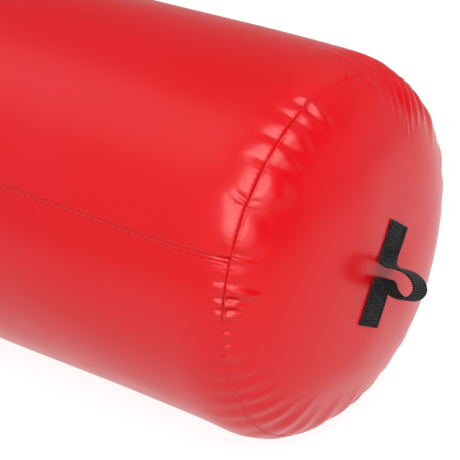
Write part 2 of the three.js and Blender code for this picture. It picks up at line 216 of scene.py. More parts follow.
class Nodes:
    """A tree of shader nodes, with a short way to add and join them."""

    def __init__(self, tree):
        self.tree = tree
        self.coords = tree.nodes.new("ShaderNodeTexCoord").outputs

    def feed(self, socket, value):
        """Links a node's output to a socket, or sets the socket to a plain value."""
        if isinstance(value, bpy.types.NodeSocket):
            self.tree.links.new(value, socket)
        else:
            socket.default_value = value

    def node(self, kind, settings=(), **inputs):
        """A new node. An input is named, or numbered as in i0."""
        made = self.tree.nodes.new("ShaderNode" + kind)
        for key, value in dict(settings).items():
            setattr(made, key, value)
        for key, value in inputs.items():
            named = key.replace("_", " ")
            self.feed(made.inputs[int(key[1:]) if key[1:].isdigit() else named], value)
        return made

    def texture(self, kind, settings=(), **inputs):
        """A texture drawn in the piece's own coordinates, in metres."""
        return self.node("Tex" + kind, settings, Vector=self.coords["Object"], **inputs).outputs

    def noise(self, scale, detail):
        return self.texture("Noise", Scale=scale, Detail=detail)["Fac"]

    def math(self, operation, a, b=0.0):
        return self.node("Math", {"operation": operation}, i0=a, i1=b).outputs[0]

    def times(self, a, b):
        return self.math("MULTIPLY", a, b)

    def spread(self, value, low, high, to_low=0.0, to_high=1.0, step="LINEAR"):
        """value's range from low to high, spread from to_low to to_high."""
        ends = {"i1": low, "i2": high, "i3": to_low, "i4": to_high}
        return self.node("MapRange", {"interpolation_type": step}, i0=value, **ends).outputs[0]

    def ramp(self, value, *stops):
        """Colours by value, each stop a (position, colour)."""
        made = self.node("ValToRGB", i0=value)
        elements = made.color_ramp.elements
        while len(elements) < len(stops):
            elements.new(0.5)
        for element, (position, colour) in zip(elements, stops):
            element.position = position
            element.color = (*colour, 1)
        return made.outputs["Color"]

    def mix(self, amount, a, b):
        """From a to b, each a socket or a plain colour."""
        a, b = (v if isinstance(v, bpy.types.NodeSocket) else (*v, 1) for v in (a, b))
        return self.node("Mix", {"data_type": "RGBA"}, i0=amount, i6=a, i7=b).outputs[2]

    def pointiness(self, low, high):
        """From 0 in creases to 1 on edges."""
        return self.spread(self.node("NewGeometry").outputs["Pointiness"], low, high)


class Look(Nodes):
    """A material, built round its Principled shader."""

    def __init__(self, name, **sockets):
        self.material = bpy.data.materials.new(name)
        self.material.use_nodes = True
        super().__init__(self.material.node_tree)
        self.surface = self.tree.nodes["Principled BSDF"]
        self.join(**sockets)

    def join(self, **sources):
        for key, value in sources.items():
            self.feed(self.surface.inputs[key.replace("_", " ")], value)

    def roughen(self, noise, low, high):
        """Roughness from low to high, as a noise has it."""
        self.join(Roughness=self.spread(noise, 0.3, 0.7, low, high))

    def relief(self, *layers):
        """Bump layers, each (height socket, strength, distance in metres)."""
        normal = None
        for height, strength, distance in layers:
            made = self.node("Bump", Strength=strength, Distance=distance, Height=height)
            if normal is not None:
                self.feed(made.inputs["Normal"], normal)
            normal = made.outputs["Normal"]
        self.join(Normal=normal)
        return self.material


def red_sheet():
    """Glossy coated sheet: a faint leather grain, uneven gloss, and painted shade that darkens its
    creases.
    """
    look = Look("red_sheet", Specular_IOR_Level=0.27, Coat_Weight=0.05, Coat_Roughness=0.15)
    patches = look.spread(look.noise(7, 3), 0.3, 0.7)
    tone = look.mix(patches, (0.465, 0.001, 0.003), (0.465, 0.003, 0.008))
    # Painted shade: where the mesh's pointiness finds a crease, the base colour is darkened.
    tone = look.mix(look.pointiness(0.42, 0.5), (0.4, 0.001, 0.002), tone)
    rub = look.times(look.pointiness(0.53, 0.62), look.noise(240, 2))
    look.join(Base_Color=look.mix(look.times(rub, 0.5), tone, (0.72, 0.03, 0.03)))
    # Where the roughness crosses 0.274, the picture's noise filter draws a line.
    look.roughen(look.noise(26, 4), 0.277, 0.325)
    return look.relief(
        (look.noise(620, 2), 0.14, 0.12 * MM),
        (look.noise(60, 2), 0.2, 0.4 * MM),
        (look.noise(13, 3), 0.5, 1.6 * MM),
    )


RIB_PITCH = 1.75 * MM  # of the webbing's ribs
THREAD_PITCH = 0.9 * MM  # of the threads across it


def webbing_look():
    """Woven polyester webbing, with a painted highlight on the crests of its ribs. The map runs along
    the strap, in metres.
    """
    look = Look("black_webbing", Specular_IOR_Level=0.06, Sheen_Weight=0.01, Sheen_Roughness=0.5)
    split = look.node("SeparateXYZ", i0=look.coords["UV"])
    along, across = split.outputs[0], split.outputs[1]
    stagger = look.math("GREATER_THAN", across, 0.0)
    turns = look.math("ADD", look.math("DIVIDE", along, RIB_PITCH), look.times(stagger, 0.5))
    wave = look.math("SINE", look.times(turns, 2 * math.pi))
    threads = look.math("SINE", look.times(across, 2 * math.pi / THREAD_PITCH))
    # Painted highlight: the ribs' crests are coloured lighter, broken up by the threads and a fine
    # speckle.
    lit = look.times(look.spread(wave, 0.0, 1.0), look.spread(look.noise(420, 3), 0.3, 0.75))
    lit = look.times(lit, look.spread(threads, -1.0, 1.0, 0.45, 1.0))
    look.join(Base_Color=look.mix(lit, (0.002, 0.002, 0.0025), (0.13, 0.128, 0.134)))
    look.roughen(look.noise(300, 2), 0.62, 0.82)
    fibres = look.math("ADD", look.times(threads, 0.4), look.noise(1400, 2))
    return look.relief((wave, 0.5, 0.2 * MM), (fibres, 0.4, 0.12 * MM))


def thread_look(name, colour, light):
    """Twisted sewing thread."""
    look = Look(name, Specular_IOR_Level=0.1, Sheen_Weight=0.02)
    twist = look.texture("Wave", {"bands_direction": "DIAGONAL"}, Scale=900.0, Distortion=1.5)["Fac"]
    look.join(Base_Color=look.mix(look.times(twist, 0.6), colour, light))
    look.roughen(look.noise(500, 2), 0.58, 0.75)
    return look.relief((twist, 0.5, 0.15 * MM))


# ---- the skin's shape ----

class Meridian:
    """The bag's side view from the top panel's middle to the apex of the dome, read by the
    distance along it."""

    def __init__(self):
        t = np.linspace(0, math.pi / 2, 3000)
        dome_x = DOME_START_X + DOME_HEIGHT * np.sin(t) ** DOME_POWER_X
        dome_r = RADIUS * np.maximum(np.cos(t), 0) ** DOME_POWER_R
        bend = np.linspace(math.pi / 3, 0, 200)
        reach = np.sin(bend) / math.sin(math.pi / 3)
        fall = (1 - np.cos(bend)) / (1 - math.cos(math.pi / 3))
        shoulder_x = TOP_ROUND_X + (TOP_SEAM_X - TOP_ROUND_X) * reach
        shoulder_r = RADIUS - (RADIUS - TOP_SEAM_RADIUS) * fall
        turn = np.linspace(math.pi / 2, 0, 200)
        rim_x = TOP_SEAM_X + (TOP_FACE_X - TOP_SEAM_X) * np.sin(turn)
        rim_r = TOP_FLAT_RADIUS + (TOP_SEAM_RADIUS - TOP_FLAT_RADIUS) * np.cos(turn)
        tube_x = np.linspace(TOP_ROUND_X, DOME_START_X, 400)[1:-1]
        self.x = np.concatenate([[TOP_FACE_X], rim_x, shoulder_x[1:], tube_x, dome_x])
        self.r = np.concatenate([[0], rim_r, shoulder_r[1:], 0 * tube_x + RADIUS, dome_r])
        steps = np.hypot(np.diff(self.x), np.diff(self.r))
        self.s = np.concatenate([[0], np.cumsum(steps)])
        self.top_seam = self.s[len(rim_x)]
        after_start = self.x > DOME_START_X
        self.bottom_seam = float(np.interp(BOTTOM_SEAM_X, self.x[after_start], self.s[after_start]))
        self.length = self.s[-1]

    def at(self, s):
        """Position and outward normal, each as (x, radius)."""
        half = 0.8 * MM
        low, high = np.clip(s - half, 0, self.length), np.clip(s + half, 0, self.length)
        dx = np.interp(high, self.s, self.x) - np.interp(low, self.s, self.x)
        dr = np.interp(high, self.s, self.r) - np.interp(low, self.s, self.r)
        size = np.hypot(dx, dr)
        return np.interp(s, self.s, self.x), np.interp(s, self.s, self.r), -dr / size, dx / size


MERIDIAN = Meridian()

# Pillows of sheet between the pinches of the gathered bottom seam: the angle where each
# begins, and how high in mm and how long in mm it stands on the tube and on the dome.
PILLOWS = [
    (-94, 0.7, 48, 0.8, 55),
    (-82, 0.9, 52, 1.0, 60),
    (-69, 0.6, 46, 0.9, 48),
    (-60, 0.9, 50, 1.1, 62),
    (-48, 0.6, 38, 0.8, 50),
    (-40, 0.8, 46, 0.9, 44),
    (-32, 0.6, 34, 0.7, 46),
    (-26, 0.7, 30, 0.7, 38),
    (-20, 0.6, 26, 0.8, 34),
    (-13.5, 0.7, 22, 0.7, 28),
    (-6.5, 0.9, 16, 0.9, 16),
    (-1.8, 0.9, 16, 0.9, 16),
    (2.5, 0.8, 15, 1.1, 22),
    (5.9, 1.0, 18, 1.3, 24),
    (9.3, 1.5, 20, 2.3, 34),
    (14.2, 1.5, 26, 1.0, 22),
    (20.6, 2.6, 30, 2.0, 30),
    (36, 3.6, 36, 3.0, 38),
    (51, 2.5, 32, 2.3, 30),
    (58, 2.6, 36, 2.6, 30),
    (66.5, 2.6, 34, 2.4, 30),
    (73.5, 0.5, 16, 0.4, 16),
    (90.5, 0.5, 20, 0.5, 24),
    (98.5, 1.0, 46, 0.8, 34),
    (104.8, 1.1, 52, 1.0, 44),
    (109.5, 1.1, 54, 1.2, 56),
    (113.5, 1.2, 50, 1.4, 60),
    (118, 1.2, 46, 1.5, 56),
    (123, 1.4, 40, 1.6, 50),
    (129, 1.8, 36, 1.8, 44),
]

# Narrow folds that cross or leave the seam: angle, height in mm and length in mm on the
# tube and on the dome, width in mm, and how far the fold leans, in degrees per 10 mm. The
# hollow beside a fold lies on its upper side, or on its lower side if the width is negative.
FOLDS = [
    (-10.2, 0.4, 7, 1.1, 14, 1.7, 0.2),
    (-6.4, 0.4, 5, 1.5, 12, 1.6, 0),
    (-2.0, 0.8, 7, 1.5, 10, 1.7, -0.2),
    (4.0, 0.9, 10, 1.6, 18, 1.9, 0.2),
    (7.6, 0.8, 10, 1.7, 20, 1.9, 0.3),
    (12.9, 1.1, 11, 0.6, 12, 1.4, -0.8),
    (21.4, 0.4, 20, 1.7, 24, 1.8, -0.2),
    (37.0, 1.2, 16, 0.9, 14, 1.5, 0.5),
    (73.8, 2.4, 18, 2.8, 32, -2.9, -0.3),
    (90.4, 0.1, 5, 1.1, 19, 1.5, -0.2),
    (99.5, 0.9, 38, 0.8, 20, 1.6, 0.4),
    (103.5, 0.9, 46, 0.8, 34, 1.5, 0.4),
    (107.5, 1.0, 50, 0.6, 30, 1.5, 0.3),
    (111.5, 0.9, 44, 1.2, 60, 1.7, 0.2),
    (115.5, 0.9, 40, 1.3, 64, 1.8, 0.2),
    (120.5, 0.8, 36, 1.1, 52, 1.8, 0.1),
]


def unseen_pillows(first, last, seed):
    """More pillows of the same kind, from one angle round to another."""
    rng = np.random.default_rng(seed)
    made, angle = [], first
    while angle < last - 5:
        width = rng.uniform(6, 14)
        height = 0.1 * width + rng.uniform(-0.2, 0.3)
        length = 18 + 2.2 * width
        made.append((angle, height, length, height * rng.uniform(0.8, 1.1), length + 4))
        angle += width
    return made


BOTTOM_PILLOWS = PILLOWS + unseen_pillows(135, 268, seed=4)
TOP_PILLOWS = unseen_pillows(-180, 180, seed=9)


def pillow_height(angle, distance, pillows, on_dome):
    """Height in metres of the pillows along a seam. distance is metres from the seam."""
    starts = np.array([p[0] for p in pillows], float)
    turned = (angle - starts[0]) % 360 + starts[0]
    lean = 0.9 * np.sin(np.radians(turned * 7.3)) * (distance / (30 * MM))
    turned = (turned + lean - starts[0]) % 360 + starts[0]
    ends = np.append(starts[1:], starts[0] + 360)
    which = np.clip(np.searchsorted(starts, turned, side="right") - 1, 0, len(starts) - 1)
    heights = np.array([p[3 if on_dome else 1] for p in pillows])[which] * MM
    lengths = np.array([p[4 if on_dome else 2] for p in pillows])[which] * MM
    share = (turned - starts[which]) / (ends[which] - starts[which])
    # The creases between pillows are sharp where the camera sees them best, and soft below.
    power = 0.42 + 0.45 * smooth(-8, -34, turned) * (turned < 130)
    across = (np.sin(np.pi * np.clip(share, 0, 1)) ** 2 + 0.012) ** power
    reach = lengths * (0.62 + 0.38 * np.sin(np.pi * np.clip(share * 1.15 - 0.05, 0, 1)))
    fade = 1 - smooth(0.1, 1.0, distance / reach)
    if on_dome:
        crown = 0.3 * (1 - np.exp(-distance / (1.2 * MM))) + 1.7 * smooth(-3 * MM, 24 * MM, distance)
        return heights * (across * crown - 0.35 * (1 - across)) * fade
    return heights * (across - 0.62) * fade


def fold_height(angle, distance, on_dome):
    """Height in metres of the narrow folds along the bottom seam."""
    total = 0
    for at, tube_height, tube_length, dome_height, dome_length, width, lean in FOLDS:
        height, length = (dome_height, dome_length) if on_dome else (tube_height, tube_length)
        middle = at + lean * distance / (10 * MM)
        off = (angle - middle) * math.radians(1) * RADIUS * 0.95
        spread = width * MM * (1 + 0.6 * distance / (length * MM))
        fade = 1 - smooth(0.25, 1.0, distance / (length * MM))
        rise = 0.4 + 0.6 * smooth(0, 3 * MM, distance)
        crest = bump(off, spread) - 0.75 * bump(off - 1.9 * spread, spread * 1.2)
        total = total + height * MM * crest * fade * rise
    return total


def seam_groove(angle, distance, on_dome=False):
    """The dip where the two sheets turn in, with the tiny puckers between its stitches."""
    along = np.radians(angle) * RADIUS
    uneven = 1 + 0.35 * np.sin(along / (6.1 * MM)) + 0.3 * np.sin(along / (2.3 * MM) + 1)
    puckers = 0.32 * MM * np.cos(2 * np.pi * along / (4.7 * MM))
    puckers = puckers * np.exp(-distance / (2.2 * MM)) * uneven
    taut = smooth(68, 78, angle) * smooth(150, 130, angle)
    taut = taut + 0.8 * smooth(16, 4, angle) * smooth(-50, -30, angle)
    dip = -(0.8 - 0.5 * taut) * MM * np.exp(-distance / (0.6 * MM))
    dip = dip + 0.4 * taut * MM * bump(distance - 1.0 * MM, 0.7 * MM)
    if on_dome:
        dip = dip + (0.4 + 0.3 * taut) * MM * uneven * bump(distance - 1.5 * MM, 1.0 * MM)
    return dip + puckers


def broad_shape(angle, s):
    """Slow unevenness of the stuffing, and the dents and swellings of the closed end."""
    a = np.radians(angle)
    past_seam = s - MERIDIAN.bottom_seam
    body = 0.7 * MM * np.sin(2 * a + 9 * s + 0.7) + 0.5 * MM * np.sin(3 * a - 14 * s + 2.1)
    body += 0.35 * MM * np.sin(5 * a + 23 * s)
    body *= smooth(0, 60 * MM, MERIDIAN.length - s) * smooth(130 * MM, 230 * MM, s - MERIDIAN.top_seam)
    flat_shoulder = -4.2 * MM * bump(angle + 72, 24) * bump(past_seam - 46 * MM, 30 * MM)
    low_swell = 1.8 * MM * bump(angle + 60, 26) * bump(past_seam + 22 * MM, 22 * MM)
    high_swell = 1.8 * MM * bump(angle - 118, 26) * bump(past_seam - 40 * MM, 32 * MM)
    return body + flat_shoulder + low_swell + high_swell


def seam_wander(s):
    """How many degrees the long seam strays from its line."""
    return 0.5 * np.sin(s * 9) * smooth(0, 0.3, MERIDIAN.bottom_seam - s)


def long_seam(angle, s):
    """The topstitched lap along the tube: a step up to a ridge, deeper by the end seam."""
    off = (angle - LONG_SEAM_ANGLE - seam_wander(s)) * math.radians(1) * RADIUS
    near_end = smooth(75 * MM, 10 * MM, MERIDIAN.bottom_seam - s)
    depth = 1.0 + 0.9 * near_end
    valley = -depth * MM * bump(off - (1.5 + near_end) * MM, (1.2 + 1.8 * near_end) * MM)
    ridge = (0.3 + 0.8 * near_end) * MM * bump(off + 0.3 * MM, (1.1 + 0.3 * near_end) * MM)
    return valley + ridge


SEEN_FROM, SEEN_TO = -30, 126  # degrees: the part of the gathered seam that the photo shows best


def column_angles():
    """Angles round the bag, close together where the folds and the long seam are."""
    angles = [-180.0]
    while angles[-1] < 180:
        at = angles[-1]
        step = 0.45 if SEEN_FROM < at < SEEN_TO else 1.0
        if abs(at - LONG_SEAM_ANGLE) < 2.6:
            step = 0.16
        angles.append(at + step)
    # The last column keeps clear of the first, which it meets at 180 degrees.
    return np.array(angles[:-1] if 180 - angles[-2] > 0.3 else angles[:-2])


def row_distances(length, seams_at_both_ends=True):
    """Distances from a seam: 0.6 mm apart beside it, 2.7 mm at 45 mm, 15.7 mm beyond 160 mm."""
    rows = [0.0]
    while rows[-1] < length:
        near = min(rows[-1], length - rows[-1]) if seams_at_both_ends else rows[-1]
        step = 0.6 * MM + 2.1 * MM * min(near / (45 * MM), 1) + 13 * MM * smooth(0.07, 0.16, near)
        rows.append(rows[-1] + step)
    rows = np.array(rows)
    return rows * length / rows[-1]


COLUMNS = column_angles()
BOTTOM_LIP_RADIUS = MERIDIAN.at(MERIDIAN.bottom_seam)[1] - SEAM_ALLOWANCE


def rest_on_floor(points):
    """Presses the underside onto the floor, with a soft edge to the flat."""
    points[..., 2] = above_zero(points[..., 2], 1.2 * MM)
    return points


def skin(s, angle, height):
    """Points on the bag's skin, height metres out from the meridian."""
    x, r, nx, nr = MERIDIAN.at(s)
    return rest_on_floor(place(x + nx * height, r + nr * height, angle))


def make_side_panel():
    length = MERIDIAN.bottom_seam - MERIDIAN.top_seam
    from_bottom = row_distances(length)
    s = (MERIDIAN.bottom_seam - from_bottom)[:, None]
    angle = COLUMNS[None, :]
    from_top = s - MERIDIAN.top_seam
    distance = from_bottom[:, None]
    height = broad_shape(angle, s) + long_seam(angle, s)
    height = height + pillow_height(angle, distance, BOTTOM_PILLOWS, False)
    height = height + fold_height(angle, distance, False) + seam_groove(angle, distance)
    height = height + pillow_height(angle, from_top, TOP_PILLOWS, False)
    height = height + seam_groove(angle, from_top)
    outer = skin(s, angle, height)
    # The turned-in edges and a coarse inner wall close the sheet.
    inner_s = np.linspace(MERIDIAN.top_seam, MERIDIAN.bottom_seam, 14)[:, None]
    inner = skin(inner_s, angle, -LINING)
    lip_bottom = place(BOTTOM_SEAM_X, BOTTOM_LIP_RADIUS, angle)
    lip_top = place(TOP_SEAM_X, TOP_SEAM_RADIUS - SEAM_ALLOWANCE, angle)
    points = np.concatenate([outer, lip_top, inner, lip_bottom])
    return grid_piece("side_panel_skin", points, wrap_rows=True)


def make_bottom_panel():
    length = MERIDIAN.length - MERIDIAN.bottom_seam - 1.5 * MM
    distance = row_distances(length, seams_at_both_ends=False)[:, None]
    s = MERIDIAN.bottom_seam + distance
    angle = COLUMNS[None, :]
    height = broad_shape(angle, s) + seam_groove(angle, distance, True)
    height = height + pillow_height(angle, distance, BOTTOM_PILLOWS, True)
    height = height + fold_height(angle, distance, True)
    outer = skin(s, angle, height)
    inner_s = np.linspace(MERIDIAN.bottom_seam + 4 * MM, MERIDIAN.length - 6 * MM, 9)[::-1][:, None]
    inner = skin(inner_s, angle, -LINING)
    lip = place(BOTTOM_SEAM_X + 0.4 * MM, BOTTOM_LIP_RADIUS, angle)
    points = np.concatenate([outer[::-1], lip, inner[::-1]])
    apexes = ((APEX_X, 0, AXIS_Z), (APEX_X - LINING, 0, AXIS_Z))
    return grid_piece("bottom_panel_skin", points, hubs=apexes)


red = red_sheet()
settle(make_side_panel(), "bag", "red_sheet", red, "side_panel", fill=TIGHT)
settle(make_bottom_panel(), "bag", "red_sheet", red, "bottom_panel", fill=TIGHT)


# ---- stitches ----

def stitches(name, runs, length, radius):
    """Stitches, each a short thread that dips into the sheet at both ends. A run of them is
    their middles, and the way out of the sheet, at each or for all."""
    rings, sides = 7, 8
    rounds = np.linspace(0, 2 * math.pi, sides, endpoint=False)
    one = grid_faces(rings, sides, caps=True)
    vertices, faces = [], []
    for points, ups in runs:
        ups = np.broadcast_to(ups, points.shape)
        for centre, up, forward in zip(points, ups, np.gradient(points, axis=0)):
            forward = forward / np.linalg.norm(forward)
            side = np.cross(forward, up)
            base = len(vertices)
            for a in np.linspace(-1, 1, rings):
                swell = radius * math.sqrt(max(1 - a * a * 0.92, 0.02))
                arch = up * radius * (0.55 - 1.1 * a * a)
                for b in rounds:
                    offset = side * math.cos(b) * swell + up * math.sin(b) * swell
                    vertices.append(centre + forward * a * length / 2 + arch + offset)
            faces += [tuple(base + i for i in face) for face in one]
    mesh = bpy.data.meshes.new(name)
    mesh.from_pydata([tuple(v) for v in vertices], [], faces)
    return finish_mesh(name, mesh)


def make_long_stitches():
    pitch = 6.2 * MM
    start = MERIDIAN.top_seam + 6 * MM
    count = int((MERIDIAN.bottom_seam - 7 * MM - start) / pitch)
    s = start + pitch * np.arange(count)
    angle = LONG_SEAM_ANGLE + seam_wander(s) + 0.1
    height = broad_shape(angle, s) + long_seam(angle, s)
    points = skin(s, angle, height + 0.1 * MM)
    above = skin(s, angle, height + 3 * MM)
    return stitches("long_seam_stitches", [(points, unit(above - points))], 4.2 * MM, 0.4 * MM)


def make_seam_ridge():
    """The edge of the sheets where they turn in together, which shows where they pull tight."""
    angle = np.arange(0, 360, 0.5) - 180
    zero = 0 * angle
    low = pillow_height(angle, zero, BOTTOM_PILLOWS, False) + fold_height(angle, zero, False)
    high = pillow_height(angle, zero, BOTTOM_PILLOWS, True) + fold_height(angle, zero, True)
    taut = smooth(66, 78, angle) * smooth(150, 130, angle)
    taut = taut + smooth(10, 0, angle) * smooth(-100, -80, angle)
    height = broad_shape(angle, MERIDIAN.bottom_seam) + (low + high) / 2 - (1.5 - 1.3 * taut) * MM
    path = skin(MERIDIAN.bottom_seam, angle, height)
    return tube("bottom_seam_ridge", path, 0.65 * MM, sides=8, looped=True)


# The thread is darker than the sheet: painted shade that stands in for the shadows in the stitch holes.
red_thread = thread_look("red_thread", (0.28, 0.002, 0.003), (0.42, 0.006, 0.008))
settle(make_long_stitches(), "bag", "red_sheet", red_thread)
settle(make_seam_ridge(), "bag", "red_sheet", red)


# ---- the webbing loop on the bottom panel ----

LOOP_ALONG = np.array([0, math.sin(LOOP_TILT), math.cos(LOOP_TILT)])
LOOP_ACROSS = np.array([0, math.cos(LOOP_TILT), -math.sin(LOOP_TILT)])
LOOP_WIDTH = 30 * MM
LOOP_THICKNESS = 1.5 * MM


def dome_face(along):
    """How far the dome's skin lies behind the apex, a given way along the strap."""
    radius = np.clip(np.abs(along), 1e-6, 80 * MM)
    dome_x, dome_r = MERIDIAN.x[-2000:], MERIDIAN.r[-2000:]
    order = np.argsort(dome_r)
    return APEX_X - np.interp(radius, dome_r[order], dome_x[order])


def loop_drift(along):
    """How far the webbing lies to one side, since it was sewn down a little askew."""
    return np.interp(along, np.array([-46, -14, 6, 39]) * MM, np.array([2.6, 1.2, -1.6, 3.2]) * MM)


def spline(points, count):
    """Evenly spaced points on a smooth curve through the given ones."""
    points = np.array(points, float)
    padded = np.vstack([2 * points[0] - points[1], points, 2 * points[-1] - points[-2]])
    fine = []
    for i in range(len(points) - 1):
        p0, p1, p2, p3 = padded[i : i + 4]
        t = np.linspace(0, 1, 40, endpoint=False)[:, None]
        a, b = 2 * p1, p2 - p0
        c, d = 2 * p0 - 5 * p1 + 4 * p2 - p3, -p0 + 3 * p1 - 3 * p2 + p3
        fine.append(0.5 * (a + b * t + c * t**2 + d * t**3))
    fine = np.vstack([*fine, points[-1:]])
    steps = np.linalg.norm(np.diff(fine, axis=0), axis=1)
    lengths = np.concatenate([[0], np.cumsum(steps)])
    at = np.linspace(0, lengths[-1], count)
    return as_points(*[np.interp(at, lengths, part) for part in fine.T]), at


def web_section(width, thickness, along, columns=26):
    """Across-and-out offsets of a ribbed webbing section, one loop for each row."""
    half, edge = width / 2, thickness / 2
    flat = np.linspace(-half + edge, half - edge, columns)
    turn = np.linspace(-math.pi / 2, math.pi / 2, 5)[1:-1]
    right, left = half - edge + edge * np.cos(turn), -half + edge - edge * np.cos(turn)
    across = np.concatenate([flat, right, flat[::-1], left])
    out = np.concatenate([0 * flat - edge, edge * np.sin(turn), 0 * flat + edge, -edge * np.sin(turn)])
    face = np.concatenate([0 * flat + 1, 0 * turn, 0 * flat + 1, 0 * turn])
    stagger = np.where(across > 0, 0.5, 0.0)
    wave = np.cos(2 * np.pi * (along[:, None] / RIB_PITCH + stagger[None, :]))
    middle = 1 - 0.9 * bump(across, 0.5 * MM)[None, :]
    edges = smooth(0.2 * MM, 2 * MM, half - np.abs(across))[None, :]
    ribs = 0.14 * MM * wave * face[None, :] * middle * edges * np.sign(out)[None, :]
    return across[None, :] + 0 * wave, out[None, :] + ribs


def web_piece(name, points, along, across):
    """A strap, with a map that runs along it."""
    return grid_piece(name, points, caps=True, uv=as_points(along[:, None], across))


# The loop's side view in mm: how far out from the apex, and how far up the strap's slant.
LOOP_SHAPE = [
    (1.7, 8.4), (3.6, 5.6), (7.5, 4.4), (14, 4.9), (23, 4.2), (31, 0.4), (35, -6.2),
    (32.4, -12.8), (25, -16.3), (16, -15.4), (9.6, -11.4), (5.6, -7.4), (2.9, -6.6), (1.5, -9),
]


def loop_path():
    """The middle of the webbing, from the upper tail's end round the loop to the lower's."""
    seat = LOOP_THICKNESS / 2 + 0.1 * MM
    upper = [(-dome_face(a * MM) / MM + seat / MM, a) for a in (39, 30, 21, 13)]
    lower = [(-dome_face(a * MM) / MM + seat / MM, -a) for a in (14, 24, 35, 46)]
    return spline(np.array(upper + LOOP_SHAPE + lower) * MM, 660)


def make_bottom_strap():
    """One length of webbing: two tails sewn to the dome, and the loop that stands between."""
    path, along = loop_path()
    tangent = unit(np.gradient(path, axis=0))
    x_axis = np.array([1.0, 0, 0])
    centre = np.array([APEX_X, 0, AXIS_Z]) + path[:, :1] * x_axis + path[:, 1:] * LOOP_ALONG
    normal = -tangent[:, 1:] * x_axis + tangent[:, :1] * LOOP_ALONG
    # The part that stands up lies straight and twists slightly.
    standing = smooth(3 * MM, 14 * MM, path[:, 0])
    centre = centre + (loop_drift(path[:, 1]) * (1 - standing))[:, None] * LOOP_ACROSS
    twist = 0.1 * standing
    across = LOOP_ACROSS[None, :] * np.cos(twist)[:, None] - x_axis[None, :] * np.sin(twist)[:, None]
    # The upper tail turns a little, too.
    askew = -0.13 * smooth(12 * MM, 34 * MM, path[:, 1] - path[:, 0])
    across = across * np.cos(askew)[:, None] + LOOP_ALONG[None, :] * np.sin(askew)[:, None]
    normal = unit(normal - (normal * across).sum(1)[:, None] * across)
    wide, out = web_section(LOOP_WIDTH, LOOP_THICKNESS, along)
    points = centre[:, None, :] + wide[..., None] * across[:, None, :]
    points = points + out[..., None] * normal[:, None, :]
    return web_piece("bottom_strap", points, along, wide)


webbing = webbing_look()
strap = make_bottom_strap()
strap.data.materials.append(webbing)
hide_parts("loop_tail_upper", "bottom_loop", "loop_tail_lower")
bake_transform(strap)


# ---- more shape helpers ----

def lathe(name, profile, uneven, columns=96, floor_of=None, caps=False):
    """A profile of (x, radius) turned about the bag's axis, closed unless it has caps.
    uneven(angle, x, radius) moves the skin in or out, and floor_of(radius) is how low the
    pressed side may lie."""
    angle = np.linspace(-180, 180, columns, endpoint=False)[None, :]
    x, r = profile[:, :1] + 0 * angle, profile[:, 1:] + 0 * angle
    r = np.maximum(r + uneven(np.radians(angle) + 0 * x, x, r), 1e-4)
    points = place(x, r, angle)
    if floor_of is not None:
        lowest = floor_of(profile[:, 1:])
        points[..., 2] = lowest + above_zero(points[..., 2] - lowest, 1.0 * MM)
    return grid_piece(name, points, wrap_rows=not caps, caps=caps)


def rounded_profile(corners, spacing):
    """A closed profile resampled evenly through its corners."""
    corners = np.array(corners + corners[:1], float)
    steps = np.concatenate([[0], np.cumsum(np.hypot(*np.diff(corners, axis=0).T))])
    at = np.linspace(0, steps[-1], max(8, int(steps[-1] / spacing)), endpoint=False)
    return as_points(*[np.interp(at, steps, part) for part in corners.T])


def softened(node, width):
    """A CAD node's own shape with its edges rounded."""
    shape = bmesh.new()
    shape.from_mesh(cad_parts[node].data)
    flat_enough = math.radians(2)
    bmesh.ops.remove_doubles(shape, verts=shape.verts, dist=0.01 * MM)
    bmesh.ops.dissolve_limit(shape, angle_limit=flat_enough, verts=shape.verts, edges=shape.edges)
    joined = [e for e in shape.edges if len(e.link_faces) == 2]
    sharp = [e for e in joined if e.calc_face_angle() > math.radians(30)]
    how = {"segments": 3, "profile": 0.5, "affect": "EDGES", "clamp_overlap": True}
    bmesh.ops.bevel(shape, geom=sharp, offset=width, **how)
    mesh = bpy.data.meshes.new(node + "_rounded")
    shape.to_mesh(mesh)
    shape.free()
    return finish_mesh(node + "_rounded", mesh)


def wavy(*terms):
    """A smooth uneven surface: each term is (height in mm, turns round, waves per metre, phase)."""
    def height(angle, x, r):
        total = 0 * angle
        for size, turns, waves, phase in terms:
            total = total + size * MM * np.sin(turns * angle + 2 * np.pi * waves * x + phase)
        return total
    return height


# ---- more materials ----

def scaled(colour, by, lift=0):
    return tuple(min(1, c * by + lift) for c in colour)


def steel_look(name, base, roughness, metallic=1.0):
    """Plated metal, or hard nylon if it isn't metallic, with fine scratches and dull patches."""
    look = Look(name, Metallic=metallic)
    worn = look.mix(look.pointiness(0.5, 0.6), base, scaled(base, 1.15))
    look.join(Base_Color=look.mix(look.spread(look.noise(160, 4), 0.4, 0.7), worn, scaled(base, 0.72)))
    look.join(Roughness=look.spread(look.noise(420, 5), 0.25, 0.75, roughness, roughness + 0.16))
    lines = look.texture("Wave", {"bands_direction": "X"}, Scale=420.0, Distortion=9.0, Detail=4.0)
    return look.relief((lines["Fac"], 0.12, 0.05 * MM), (look.noise(900, 2), 0.1, 0.05 * MM))


WAVES_PER_SCALE = 3.18  # bands a metre that a wave texture draws at a scale of 1


def weave_look(name, dark, light, threads_per_metre, roughness=0.75, specular=0.2):
    """Plain woven cloth: two sets of threads that cross, with worn and dusty places."""
    look = Look(name, Specular_IOR_Level=specular, Sheen_Weight=0.1)
    bands = []
    scale = threads_per_metre / WAVES_PER_SCALE
    for axis in "XYZ":
        wave = look.texture("Wave", {"bands_direction": axis}, Scale=scale, Distortion=0.6)
        bands.append(wave["Fac"])
    cross = look.times(look.math("ADD", bands[0], bands[1]), look.spread(bands[2], 0, 1, 0.4, 0.8))
    tone = look.mix(look.spread(cross, 0.1, 1.2), dark, light)
    dust = look.times(look.spread(look.noise(30, 4), 0.45, 0.75), 0.25)
    look.join(Base_Color=look.mix(dust, tone, scaled(light, 1.6, 0.02)))
    look.roughen(look.noise(90, 3), roughness - 0.08, roughness + 0.1)
    return look.relief((cross, 0.45, 0.25 * MM))


